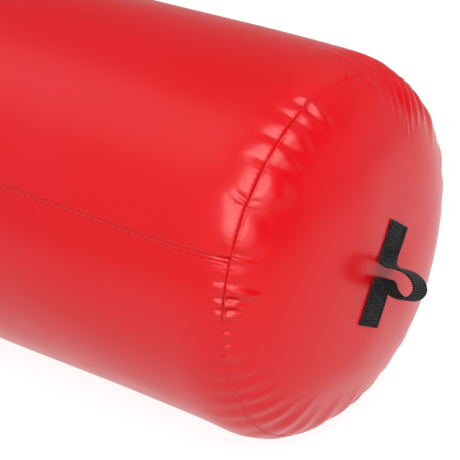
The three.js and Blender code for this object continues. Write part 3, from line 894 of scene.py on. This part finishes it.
def foam_look(name, base, pores):
    """Open-cell foam with pores of mixed size, yellowed in patches."""
    look = Look(name, Specular_IOR_Level=0.15, Subsurface_Weight=0.1, Subsurface_Scale=0.003)
    holes = look.spread(look.texture("Voronoi", Scale=pores)["Distance"], 0.1, 0.5)
    # Painted shade: the pores are darkened, as if shadowed inside.
    shade = look.mix(holes, scaled(base, 0.55), base)
    aged = look.spread(look.noise(14, 4), 0.4, 0.7)
    warm = (base[0] * 0.92, base[1] * 0.82, base[2] * 0.62)
    look.join(Base_Color=look.mix(look.times(aged, 0.6), shade, warm))
    look.roughen(look.noise(200, 2), 0.85, 0.98)
    return look.relief((holes, 0.7, 0.5 * MM), (look.noise(40, 3), 0.3, 1.0 * MM))


def plastic_film_look(name):
    """Milky film, crinkled, with a soft sheen."""
    look = Look(name, Specular_IOR_Level=0.4, Coat_Weight=0.2, Coat_Roughness=0.2)
    milky = look.ramp(look.noise(12, 4), (0.3, (0.62, 0.66, 0.7)), (0.7, (0.8, 0.82, 0.84)))
    look.join(Base_Color=milky)
    look.roughen(look.noise(60, 4), 0.22, 0.4)
    folds = look.texture("Voronoi", {"feature": "DISTANCE_TO_EDGE"}, Scale=26.0)
    return look.relief((folds["Distance"], 0.5, 1.2 * MM), (look.noise(120, 4), 0.4, 0.5 * MM))


def rag_look(name):
    """Shredded textile: scraps of many cloths pressed together."""
    look = Look(name, Specular_IOR_Level=0.1, Sheen_Weight=0.3)
    swirl = look.texture("Noise", Scale=20.0, Detail=2.0)["Color"]
    shift = look.node("VectorMath", {"operation": "SCALE"}, i0=swirl, Scale=0.05).outputs[0]
    stirred = look.node("VectorMath", {"operation": "ADD"}, i0=look.coords["Object"], i1=shift)
    scraps = look.node("TexVoronoi", Scale=38.0, Vector=stirred.outputs[0])
    pick = look.node("SeparateColor", i0=scraps.outputs["Color"]).outputs[0]
    colours = look.ramp(
        pick,
        (0.0, (0.13, 0.14, 0.17)), (0.25, (0.34, 0.33, 0.31)), (0.45, (0.08, 0.12, 0.2)),
        (0.62, (0.5, 0.47, 0.42)), (0.8, (0.24, 0.08, 0.07)), (1.0, (0.2, 0.22, 0.2)),
    )
    fluff = look.noise(260, 5)
    look.join(Base_Color=look.mix(look.spread(fluff, 0.4, 0.7, 0.0, 0.4), colours, (0.55, 0.53, 0.5)))
    look.roughen(fluff, 0.88, 1.0)
    return look.relief((scraps.outputs["Distance"], 0.6, 2.5 * MM), (fluff, 0.5, 0.8 * MM))


# ---- the top panel and its zip ----

HALVES = ((1, "upper"), (-1, "lower"))
ZIP_END_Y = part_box("zip_stop_closed")[1].y
SLOT_HALF = 5 * MM
ZIP_HEM = 9 * MM
HANG_ANGLES = (45, 135, 225, 315)  # from +Y towards +Z, as in the frame
RING_RADIUS = RADIUS + 0.3 * MM + 2 * MM


def top_face_x(radius):
    """The top panel's face: flat in the middle and rounded to its seam."""
    bend = np.clip((radius - TOP_FLAT_RADIUS) / (TOP_SEAM_RADIUS - TOP_FLAT_RADIUS), 0, 1)
    return TOP_FACE_X + (TOP_SEAM_X - TOP_FACE_X) * (1 - np.sqrt(np.maximum(1 - bend * bend, 0)))


def pressed_by_rings(y, z):
    """1 where the two upper D-rings, which fall inwards, press the panel flat. 0 elsewhere."""
    pressed = 0 * y
    middle = RING_RADIUS - 14 * MM
    for degrees in HANG_ANGLES[:2]:
        angle = math.radians(degrees)
        off = np.hypot(y - middle * math.cos(angle), z - middle * math.sin(angle))
        pressed = np.maximum(pressed, smooth(46 * MM, 30 * MM, off))
    return pressed


def top_panel_grid():
    """Places on half of the top panel, seen as its upper one: how far along the zip and away
    from it, how far from the hem, and how far the half reaches there."""
    limit = TOP_SEAM_RADIUS - 0.6 * MM
    y = np.sin(np.linspace(-math.pi / 2, math.pi / 2, 301)) * (limit - 0.4 * MM)
    opened = smooth(ZIP_END_Y + 6 * MM, ZIP_END_Y - 3 * MM, np.abs(y))
    slot = 0.4 * MM + (SLOT_HALF - 0.4 * MM) * opened
    top = np.maximum(np.sqrt(limit**2 - y**2), slot + 0.3 * MM)
    by_zip, by_rim = np.linspace(0, 1, 46) ** 1.5, np.linspace(1, 0, 60)[1:] ** 1.7
    share = np.concatenate([by_zip * 0.3, 1 - 0.7 * by_rim])
    z = slot[None, :] + (top - slot)[None, :] * share[:, None]
    return y[None, :] + 0 * z, z, z - slot[None, :], (top - slot)[None, :]


def top_panel_height(side, y, z, from_zip, reach):
    """How far half of the top panel stands out from its plain face."""
    angle = np.degrees(np.arctan2(side * z, -y))
    from_rim = np.maximum(TOP_SEAM_RADIUS - np.hypot(y, z), 0)
    swell = 2.2 * MM * smooth(ZIP_HEM, 45 * MM, from_zip) * smooth(4 * MM, 55 * MM, from_rim)
    gathers = pillow_height(angle, from_rim * 1.25, TOP_PILLOWS, True)
    gathers = gathers * smooth(0, 14 * MM, from_zip) * 0.8
    groove = seam_groove(angle, from_rim)
    # The hem beside the zip: a doubled edge, sewn down, with small puckers along the sewing.
    hem = 0.5 * MM * smooth(ZIP_HEM + 1.5 * MM, ZIP_HEM - 1 * MM, from_zip)
    sewn = -0.5 * MM * bump(from_zip - 7 * MM, 1.2 * MM) * (1 + 0.4 * np.sin(y / (1.9 * MM)))
    pull = 0.5 * MM * np.sin(y / (8.3 * MM) + side) * bump(from_zip - 16 * MM, 11 * MM)
    height = swell + gathers + groove + (hem + sewn + pull) * smooth(0, 8 * MM, reach)
    pressed = pressed_by_rings(y, side * z)
    return height * (1 - pressed) - 0.4 * MM * pressed


def make_top_panel(side, name):
    """One half of the top panel, from the hem beside the zip to the gathered rim."""
    y, z, from_zip, reach = top_panel_grid()
    face = top_face_x(np.hypot(y, z))
    height = top_panel_height(side, y, z, from_zip, reach)
    outer = as_points(face - height, y, AXIS_Z + side * z)
    edge = outer[0] + np.array([0.9 * MM, 0, -side * 0.25 * MM])
    lining = outer[::9].copy()
    lining[..., 0] = np.maximum(lining[..., 0], face[::9]) + 1.6 * MM
    rim = outer[-1] + np.array([1.2 * MM, 0, 0]) - 0.05 * (outer[-1] - [0, 0, AXIS_Z]) * [0, 1, 1]
    points = np.concatenate([edge[None], outer, rim[None], lining[::-1]])
    return grid_piece(name, points, wrap_rows=True, wrap_columns=False)


def close_ends(piece):
    """Fills the open loops that are left at a strip's two ends."""
    shape = bmesh.new()
    shape.from_mesh(piece.data)
    edges = [e for e in shape.edges if e.is_boundary]
    bmesh.ops.holes_fill(shape, edges=edges, sides=0)
    bmesh.ops.recalc_face_normals(shape, faces=shape.faces)
    shape.to_mesh(piece.data)
    shape.free()
    return piece


for side, place_name in HALVES:
    half = close_ends(make_top_panel(side, "top_panel_skin_" + place_name))
    settle(half, "bag", "red_sheet", red, "top_panel_" + place_name, fill=TIGHT)


def make_zip_stitches(name, side, row):
    """One of the two rows of sewing that hold a side of the zip."""
    reach = (119 - 3 * row) * MM
    y = np.arange(-reach, reach, 3.6 * MM)
    z = AXIS_Z + side * (SLOT_HALF + (7, 12.5)[row] * MM)
    x = TOP_FACE_X - (0.35, 0.6)[row] * MM
    return stitches(name, [(as_points(x, y, z), (-1.0, 0, 0))], 2.9 * MM, 0.36 * MM)


for side, place_name in HALVES:
    for row in (0, 1):
        sewing = make_zip_stitches(f"zip_stitches_{place_name}_{row + 1}", side, row)
        settle(sewing, "bag", "red_sheet", red_thread)


COIL_LOW, COIL_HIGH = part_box("zip_coil_upper")
COIL_PITCH = 1.7 * MM
COIL_WIRE = 0.38 * MM


def make_coil(side, name):
    """A zip's coil: a nylon thread wound so that its loops reach between the other side's."""
    turns = int((COIL_HIGH.y - COIL_LOW.y - 1 * MM) / COIL_PITCH)
    t = np.linspace(0, 2 * math.pi * turns, turns * 16 + 1)
    middle_x = (COIL_LOW.x + COIL_HIGH.x) / 2
    half_x = (COIL_HIGH.x - COIL_LOW.x) / 2 - COIL_WIRE
    reach_in, reach_out = -0.75 * MM, COIL_HIGH.z - AXIS_Z - COIL_WIRE
    z = (reach_out + reach_in) / 2 + (reach_out - reach_in) / 2 * np.cos(t)
    # The loops lie straight across, and the thread steps along only where it turns back.
    along = t / (2 * math.pi) - 0.11 * np.sin(2 * t)
    y = COIL_LOW.y + 0.5 * MM + COIL_PITCH * (along + (0.5 if side < 0 else 0))
    x = middle_x + half_x * np.sin(t)
    return tube(name, as_points(x, y, AXIS_Z + side * z), COIL_WIRE, sides=6)


zip_teeth = steel_look("zip_teeth", (0.05, 0.05, 0.055), 0.3, metallic=0.0)
zip_metal = steel_look("zip_metal", (0.5, 0.5, 0.5), 0.22)
tape_weave = weave_look("tape_weave", (0.006, 0.006, 0.007), (0.03, 0.03, 0.034), 1300)
for side, place_name in HALVES:
    coil = make_coil(side, "zip_coil_turns_" + place_name)
    settle(coil, "bag", "zip_teeth", zip_teeth, "zip_coil_" + place_name)
settle(softened("zip_slider", 0.8 * MM), "zip_slider", "zip_metal", zip_metal, "zip_slider")
settle(softened("zip_pull", 0.4 * MM), "zip_pull", "zip_metal", zip_metal, "zip_pull")
for node in ("zip_stop_closed", "zip_stop_open"):
    settle(softened(node, 0.5 * MM), "bag", "zip_metal", zip_metal, node)


# ---- hanging straps and D-rings ----

EYE_X = (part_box("d_ring_1")[0].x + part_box("d_ring_1")[1].x) / 2
STRAP_START_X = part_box("hang_strap_1")[1].x
STRAP_WIDTH = 38 * MM
STRAP_LAYER = 1.75 * MM
STRAP_APART = 0.95 * MM  # from the middle of the two layers to the middle of each
EYE_RADIUS = 4.35 * MM
RING_WIRE = 2.5 * MM
RING_INSIDE = 40 * MM
RING_LEG = 6 * MM
SEWN_LENGTH = 40 * MM
SEWN_STARTS = (STRAP_START_X - 6 * MM, STRAP_START_X - 56 * MM)


def stand_round(points, degrees):
    """Turns points drawn with Y out from the axis to their place round the bag."""
    a = math.radians(degrees)
    y = points[..., 1] * math.cos(a) - points[..., 2] * math.sin(a)
    z = points[..., 1] * math.sin(a) + points[..., 2] * math.cos(a)
    return as_points(points[..., 0], y, AXIS_Z + z)


def strap_wrap(x, across):
    """Lets the strap's width follow the round of the bag, and lie straight at its ring."""
    follow = smooth(EYE_X + 6 * MM, EYE_X + 34 * MM, x)
    return follow * (RADIUS - np.sqrt(RADIUS**2 - across**2))


def make_hang_strap(index, degrees):
    """A doubled strap: from its far end to the ring's bar, round it, and back beneath."""
    low, high = RING_RADIUS - STRAP_APART, RING_RADIUS + STRAP_APART
    around = np.radians(np.linspace(22, 338, 17))
    arc = [(EYE_X + EYE_RADIUS * math.cos(a), RING_RADIUS + EYE_RADIUS * math.sin(a)) for a in around]
    outer = [(STRAP_START_X - 0.5 * MM - k * 17 * MM, high) for k in range(7)]
    inner = [(EYE_X + 12 * MM + k * 17 * MM, low) for k in range(7)] + [(STRAP_START_X - 3 * MM, low)]
    path, along = spline(outer + [(EYE_X + 11 * MM, high)] + arc + inner, 420)
    tangent = unit(np.gradient(path, axis=0))
    across, out = web_section(STRAP_WIDTH, STRAP_LAYER, along, columns=22)
    x = path[:, :1] - out * tangent[:, 1:]
    radius = path[:, 1:] + out * tangent[:, :1] - strap_wrap(x, across)
    points = stand_round(as_points(x, radius, across), degrees)
    return web_piece(f"hang_strap_webbing_{index + 1}", points, along, across)


def seam_line(corners, pitch):
    """Evenly spaced points along straight runs of sewing."""
    runs = []
    for (x0, z0), (x1, z1) in zip(corners, corners[1:]):
        count = max(2, int(math.hypot(x1 - x0, z1 - z0) / pitch))
        share = (np.arange(count) + 0.5) / count
        runs.append(as_points(x0 + (x1 - x0) * share, z0 + (z1 - z0) * share))
    return runs


def make_strap_sewing(index, degrees):
    """A box with a cross in it, twice along the strap."""
    runs = []
    top = RING_RADIUS + STRAP_APART + STRAP_LAYER / 2
    half = STRAP_WIDTH / 2 - 5 * MM
    for start in SEWN_STARTS:
        end = start - SEWN_LENGTH
        box = [(start, -half), (end, -half), (end, half), (start, half), (start, -half), (end, half)]
        for run in seam_line(box, 3.4 * MM) + seam_line([(start, half), (end, -half)], 3.4 * MM):
            x, z = run.T
            radius = top - strap_wrap(x, z)
            here = stand_round(as_points(x, radius, z), degrees)
            above = stand_round(as_points(x, radius + 5 * MM, z), degrees)
            runs.append((here, (above - here) / (5 * MM)))
    return stitches(f"hang_strap_sewing_{index + 1}", runs, 2.8 * MM, 0.36 * MM)


def make_ring(index, degrees, out):
    """A welded D-ring of round wire about its straight bar."""
    middle = RING_INSIDE / 2 + RING_WIRE
    bend = 3 * MM
    turn = np.linspace(0, math.pi / 2, 8)
    corner = as_points(bend * (1 - np.sin(turn)), -middle + bend * (1 - np.cos(turn)))
    bow_angle = np.linspace(0, math.pi, 60)
    bow = as_points(RING_LEG + middle * np.sin(bow_angle), -middle * np.cos(bow_angle))
    bar = as_points(0, np.linspace(middle - bend, -middle + bend, 26)[1:-1])
    outline = np.concatenate([corner[::-1], bow, corner * [1, -1], bar])
    path = stand_round(as_points(EYE_X, RING_RADIUS + out * outline[:, 0], outline[:, 1]), degrees)
    return tube(f"d_ring_wire_{index + 1}", path, RING_WIRE, sides=16, looped=True)


ring_steel = steel_look("ring_steel", (0.62, 0.62, 0.64), 0.14)
black_thread = thread_look("black_thread", (0.004, 0.004, 0.005), (0.018, 0.018, 0.02))
for index, degrees in enumerate(HANG_ANGLES):
    out = -1 if math.sin(math.radians(degrees)) > 0 else 1
    ring = f"d_ring_{index + 1}"
    settle(make_hang_strap(index, degrees), "bag", "webbing", webbing, f"hang_strap_{index + 1}")
    settle(make_strap_sewing(index, degrees), "bag", "webbing", black_thread)
    settle(make_ring(index, degrees, out), ring, "ring_steel", ring_steel, ring)


def make_tail_sewing(name, first, last):
    """A box of sewing on one tail of the loop's webbing."""
    half = LOOP_WIDTH / 2 - 3.5 * MM
    runs = []
    corners = [(first, -half), (last, -half), (last, half), (first, half), (first, -half)]
    for run in seam_line(corners, 3 * MM):
        along, across = run.T
        x = APEX_X - dome_face(along) + LOOP_THICKNESS + 0.15 * MM
        here = as_points(x, 0, AXIS_Z) + along[:, None] * LOOP_ALONG
        here = here + (across + loop_drift(along))[:, None] * LOOP_ACROSS
        runs.append((here, (1.0, 0, 0)))
    return stitches(name, runs, 2.4 * MM, 0.32 * MM)


settle(make_tail_sewing("loop_sewing_upper", 16 * MM, 35 * MM), "bag", "webbing", black_thread)
settle(make_tail_sewing("loop_sewing_lower", -42 * MM, -17 * MM), "bag", "webbing", black_thread)


# ---- what is inside the bag ----

def half_width(node):
    low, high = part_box(node)
    return (high.y - low.y) / 2


def layer_floor(radius):
    """How high a layer's underside lies: the bag's sheet is pressed flat under it."""
    return np.maximum(RADIUS - radius, 0) + 0.4 * MM


def make_foam_wrap():
    low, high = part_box("foam_wrap")
    outer, inner = half_width("foam_wrap") - 0.5 * MM, 144.2 * MM
    corners = [(low.x, inner), (low.x, outer), (high.x, outer), (high.x, inner)]
    def roll(angle, x, r):
        lap = 0.6 * MM * (((angle + 2.2) % (2 * math.pi)) / (2 * math.pi) - 0.5)
        return lap + wavy((0.35, 9, 3, 0), (0.3, 5, 7, 2))(angle, x, r) * np.where(r > 150 * MM, 1, -1)
    return lathe("foam_roll", rounded_profile(corners, 7 * MM), roll, floor_of=layer_floor)


def make_liner():
    low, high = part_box("fill_liner")
    r = half_width("fill_liner") - 0.15 * MM
    neck = 21.5 * MM
    outside = [(low.x + 0.2 * MM, neck), (low.x + 9 * MM, neck), (low.x + 20.5 * MM, r)]
    outside += [(high.x, r), (high.x, 4 * MM)]
    wall = 0.8 * MM
    inside = [(x - wall if x > 0 else x + wall, max(rr - wall, 4 * MM)) for x, rr in outside[::-1]]
    inside[-1] = (low.x + 0.2 * MM, neck - wall)
    profile = rounded_profile(outside + inside, 6 * MM)
    def crinkle(angle, x, r_here):
        gathered = smooth(140 * MM, 40 * MM, r_here) * (x < 0)
        pleats = 0.05 * r_here * gathered * np.sin(26 * angle + 8 * np.sin(3 * angle))
        creases = np.sin(31 * angle + 60 * x + 3 * np.sin(5 * angle)) * np.sin(170 * x)
        return pleats - 0.2 * MM * (1 + creases)
    return lathe("liner_sack", profile, crinkle, columns=192, floor_of=layer_floor)


def make_liner_tie():
    low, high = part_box("liner_tie")
    middle = half_width("liner_tie") - 2 * MM
    a = np.linspace(0, 2 * math.pi, 120, endpoint=False)
    x = (low.x + high.x) / 2 + 0.5 * MM * np.sin(a)
    path = as_points(x, middle * np.cos(a), AXIS_Z + middle * np.sin(a))
    return tube("liner_cord", path, 1.75 * MM, sides=12, looped=True, strands=3, turns=26)


def make_textile_fill():
    low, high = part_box("textile_fill")
    outer, inner = half_width("textile_fill") - 1.2 * MM, 47.5 * MM
    corners = [(low.x + 2 * MM, inner), (low.x, inner + 10 * MM)]
    corners += [(low.x, outer - 8 * MM), (low.x + 6 * MM, outer)]
    corners += [(high.x - 6 * MM, outer), (high.x, outer - 8 * MM)]
    corners += [(high.x, inner + 10 * MM), (high.x - 2 * MM, inner)]
    lumps = wavy((0.5, 7, 11, 0), (0.5, 4, -19, 1), (0.4, 13, 7, 2), (0.3, 17, -31, 4))
    def lumpy(angle, x, r):
        return lumps(angle, x, r) - np.where(r > 90 * MM, 0.6, -0.2) * MM
    profile = rounded_profile(corners, 6 * MM)
    return lathe("textile_core", profile, lumpy, columns=120, floor_of=layer_floor)


def make_pouch(index):
    """A sand-filled sausage of woven sack, gathered at both ends and bound."""
    low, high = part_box(f"sand_pouch_{index}")
    middle, half = (low.x + high.x) / 2, (high.x - low.x) / 2
    full = half_width(f"sand_pouch_{index}") - 1.2 * MM
    x = np.sin(np.linspace(-math.pi / 2, math.pi / 2, 90)) * half
    near = (half - np.abs(x)) / (24 * MM)
    closing = 1 - np.clip(near - 0.25, 0, 1)
    body = full * np.clip(np.sqrt(np.clip(1 - closing**2, 0, 1)), 0.16, 1)
    frill = 9 * MM * smooth(0.3, 0.0, near)
    r = np.maximum(body, 7 * MM + frill)
    lumps = wavy((0.35, 3, 9, index), (0.3, 6, -15, 2.0 * index))
    def filled(angle, xx, rr):
        end = smooth(26 * MM, 6 * MM, half - np.abs(xx - middle))
        pleats = 0.07 * rr * end * np.sin(15 * angle + 2 * np.sin(4 * angle + index))
        slump = -0.8 * MM * (1 - np.cos(2 * angle + 0.4 * index)) * (1 - end)
        return pleats + slump + lumps(angle, xx, rr) * (1 - end)
    return lathe(f"sand_pouch_sack_{index}", as_points(middle + x, r), filled, caps=True)


def make_pouch_bands(index):
    low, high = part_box(f"sand_pouch_{index}")
    a = np.linspace(0, 2 * math.pi, 40, endpoint=False)
    neck = 8.6 * MM
    bands = []
    for end, x in enumerate((low.x + 6.2 * MM, high.x - 6.2 * MM)):
        path = as_points(x, neck * np.cos(a), AXIS_Z + neck * np.sin(a))
        name = f"sand_pouch_band_{index}_{end + 1}"
        bands.append(tube(name, path, 1.3 * MM, sides=8, looped=True, strands=2, turns=9))
    return bands


def make_pad(node, name, dimple):
    """A foam pad with soft edges and a face that is slightly uneven."""
    low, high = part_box(node)
    radius, thick = half_width(node), high.x - low.x
    edge = min(thick * 0.4, 6 * MM)
    if node == "top_pad":
        corners = [(low.x, 2 * MM), (low.x, radius - edge), (low.x + edge, radius - 0.5 * MM)]
        corners += [(high.x - edge, radius - 0.5 * MM), (high.x, radius - edge), (high.x, 2 * MM)]
    else:
        corners = [(low.x, 2 * MM), (low.x, radius - edge)]
        for v in np.linspace(0.02, math.pi / 2, 24)[:-1]:
            across = radius * math.cos(v) ** DOME_POWER_R
            corners.append((low.x + thick * math.sin(v) ** DOME_POWER_X, across))
        corners.append((high.x, 2 * MM))
    dimples = wavy((dimple, 5, 20, 0), (dimple, 8, -33, 1.4))
    def uneven(angle, x, r):
        return -dimple * 2.2 * MM + dimples(angle, x, r)
    return lathe(name, rounded_profile(corners, 5 * MM), uneven)


foam = foam_look("padding_foam", (0.72, 0.68, 0.6), 900.0)
film = plastic_film_look("liner_film")
rags = rag_look("shredded_textile")
SACK_GREENS = ((0.03, 0.05, 0.03), (0.12, 0.17, 0.11))
sack = weave_look("sack_weave", *SACK_GREENS, 520, roughness=0.5, specular=0.35)
cord_fibre = thread_look("cord_fibre", (0.02, 0.02, 0.022), (0.12, 0.12, 0.13))
settle(make_foam_wrap(), "bag", "foam", foam, "foam_wrap", fill=FOAM)
settle(make_liner(), "bag", "liner", film, "fill_liner", fill=TIGHT)
settle(make_liner_tie(), "bag", "webbing", cord_fibre, "liner_tie")
settle(make_textile_fill(), "bag", "textile", rags, "textile_fill", fill=TIGHT)
for pad, dimple in (("bottom_pad", 0.4), ("top_pad", 0.2)):
    settle(make_pad(pad, pad + "_foam", dimple), "bag", "foam", foam, pad, fill=FOAM)
for index in (1, 2, 3):
    settle(make_pouch(index), "bag", "pouch_skin", sack, f"sand_pouch_{index}", fill=SACK)
    for band in make_pouch_bands(index):
        settle(band, "bag", "webbing", cord_fibre)

# The CAD nodes that keep their shape: tapes, bindings and backings.
backing_cloth = weave_look("backing_cloth", (0.2, 0.012, 0.014), (0.42, 0.05, 0.05), 900, roughness=0.7)
TAPED = ["zip_tape_upper", "zip_tape_lower", "bottom_seam_binding", "top_seam_binding"]
BACKED = ["side_seam_backing", "bottom_patch", *[f"strap_patch_{number}" for number in (1, 2, 3, 4)]]
for kept_nodes, kept_material in ((TAPED, tape_weave), (BACKED, backing_cloth)):
    for node in kept_nodes:
        for slot_of_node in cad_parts[node].material_slots:
            slot_of_node.material = kept_material


# ---- camera, floor and light ----

CAMERA_AZIMUTH = math.radians(36.63)
CAMERA_ELEVATION = math.radians(26.49)
CAMERA_LENS = 147.6
CAMERA_DISTANCE = 1.53
CAMERA_RIGHT, CAMERA_UP = -0.0462, 0.0071  # where it looks, from the middle of the dome's foot


def make_camera():
    """The photo's view of the closed end and the -Y side, through a long lens."""
    right = Vector((math.cos(CAMERA_AZIMUTH), math.sin(CAMERA_AZIMUTH), 0))
    back = Vector((
        math.sin(CAMERA_AZIMUTH) * math.cos(CAMERA_ELEVATION),
        -math.cos(CAMERA_AZIMUTH) * math.cos(CAMERA_ELEVATION),
        math.sin(CAMERA_ELEVATION),
    ))
    up = back.cross(right)
    data = bpy.data.cameras.new("camera")
    data.lens = CAMERA_LENS
    data.sensor_width = 36
    camera = new_object("camera", data)
    shoulder = Vector((DOME_START_X, 0, AXIS_Z))
    looked_at = shoulder + right * CAMERA_RIGHT + up * CAMERA_UP
    camera.location = looked_at + back * CAMERA_DISTANCE
    camera.rotation_mode = "QUATERNION"
    camera.rotation_quaternion = (-back).to_track_quat("-Z", "Y")
    bpy.context.scene.camera = camera


FLOOR_SIZE = 30
FLOOR_LIT_AT = Vector((0.35, 0.25, 0))


def make_floor():
    """White paper that glows: painted light, even around the bag and fading far from it."""
    look = Look("floor_paper", Specular_IOR_Level=0.02, Roughness=0.9, Emission_Color=(1, 1, 1, 1))
    look.join(Base_Color=look.ramp(look.noise(3, 2), (0.2, [0.15] * 3), (0.8, [0.18] * 3)))
    here = look.coords["Object"]
    offset = look.node("VectorMath", {"operation": "DISTANCE"}, i0=here, i1=FLOOR_LIT_AT)
    # Painted light: the floor's own glow, strongest within 0.8 m of FLOOR_LIT_AT and weakest beyond 1.6
    # m.
    look.join(Emission_Strength=look.spread(offset.outputs["Value"], 0.8, 1.6, 0.88, 0.35))
    bpy.ops.mesh.primitive_plane_add(size=FLOOR_SIZE, location=(0, 0, -0.5 * MM))
    floor = bpy.context.object
    floor.name = "floor"
    floor.data.materials.append(look.material)


def softbox(name, direction, distance, size, power, mirrored=True):
    """An area light that faces the bag. One that isn't mirrored shows in no reflection."""
    data = bpy.data.lights.new(name, "AREA")
    data.shape = "RECTANGLE"
    data.size, data.size_y = size
    data.energy = power
    lamp = new_object(name, data)
    toward = Vector(direction).normalized()
    lamp.location = LIT_AT + toward * distance
    lamp.rotation_mode = "QUATERNION"
    # The lamp's width lies along X and its height across it.
    width = Vector((1, 0, 0)) - toward * toward.x
    turned = Matrix((width.normalized(), toward.cross(width).normalized(), toward)).transposed()
    lamp.rotation_quaternion = turned.to_quaternion()
    lamp.visible_glossy = mirrored


# Parts of the studio walls that are dimmer or brighter than the rest: the direction, the
# cosines where the change begins and is whole, and how much of the light is left there.
WALLS = [
    ((0.87, 0.13, 0.47), 0.74, 0.95, 0.08),
    ((-0.2, 0.75, 0.63), 0.55, 0.92, 0.35),
    ((-0.62, -0.22, 0.75), 0.93, 0.995, 2.2),
]
WALL_LIGHT = 0.72
LIT_AT = Vector((0.35, 0, AXIS_Z))  # what the lamps face


def make_walls():
    """An even white room, with the parts of its walls that differ."""
    world = bpy.data.worlds.new("studio")
    bpy.context.scene.world = world
    world.use_nodes = True
    room = Nodes(world.node_tree)
    strength = WALL_LIGHT
    for direction, begins, whole, left in WALLS:
        way = Vector(direction).normalized()
        looking = room.coords["Generated"]
        facing = room.node("VectorMath", {"operation": "DOT_PRODUCT"}, i0=looking, i1=way)
        level = room.spread(facing.outputs["Value"], begins, whole, 1, left, "SMOOTHSTEP")
        strength = room.times(level, strength)
    paint = room.tree.nodes["Background"]
    room.feed(paint.inputs["Strength"], strength)
    room.feed(paint.inputs["Color"], (1, 1, 1, 1))


def make_light():
    make_walls()
    softbox("key", (0.31, -0.6, 0.74), 2.0, (0.85, 2.1), 38)
    softbox("fill", (0.62, -0.76, 0.36), 3.0, (2.3, 2.0), 25)
    softbox("behind", (-0.1, 0.75, 0.65), 2.5, (2.0, 2.0), 30, mirrored=False)
    softbox("beside", (0.9, 0.35, 0.27), 2.5, (1.2, 1.0), 24, mirrored=False)
    bpy.context.scene.view_settings.view_transform = "Standard"


make_camera()
make_floor()
make_light()
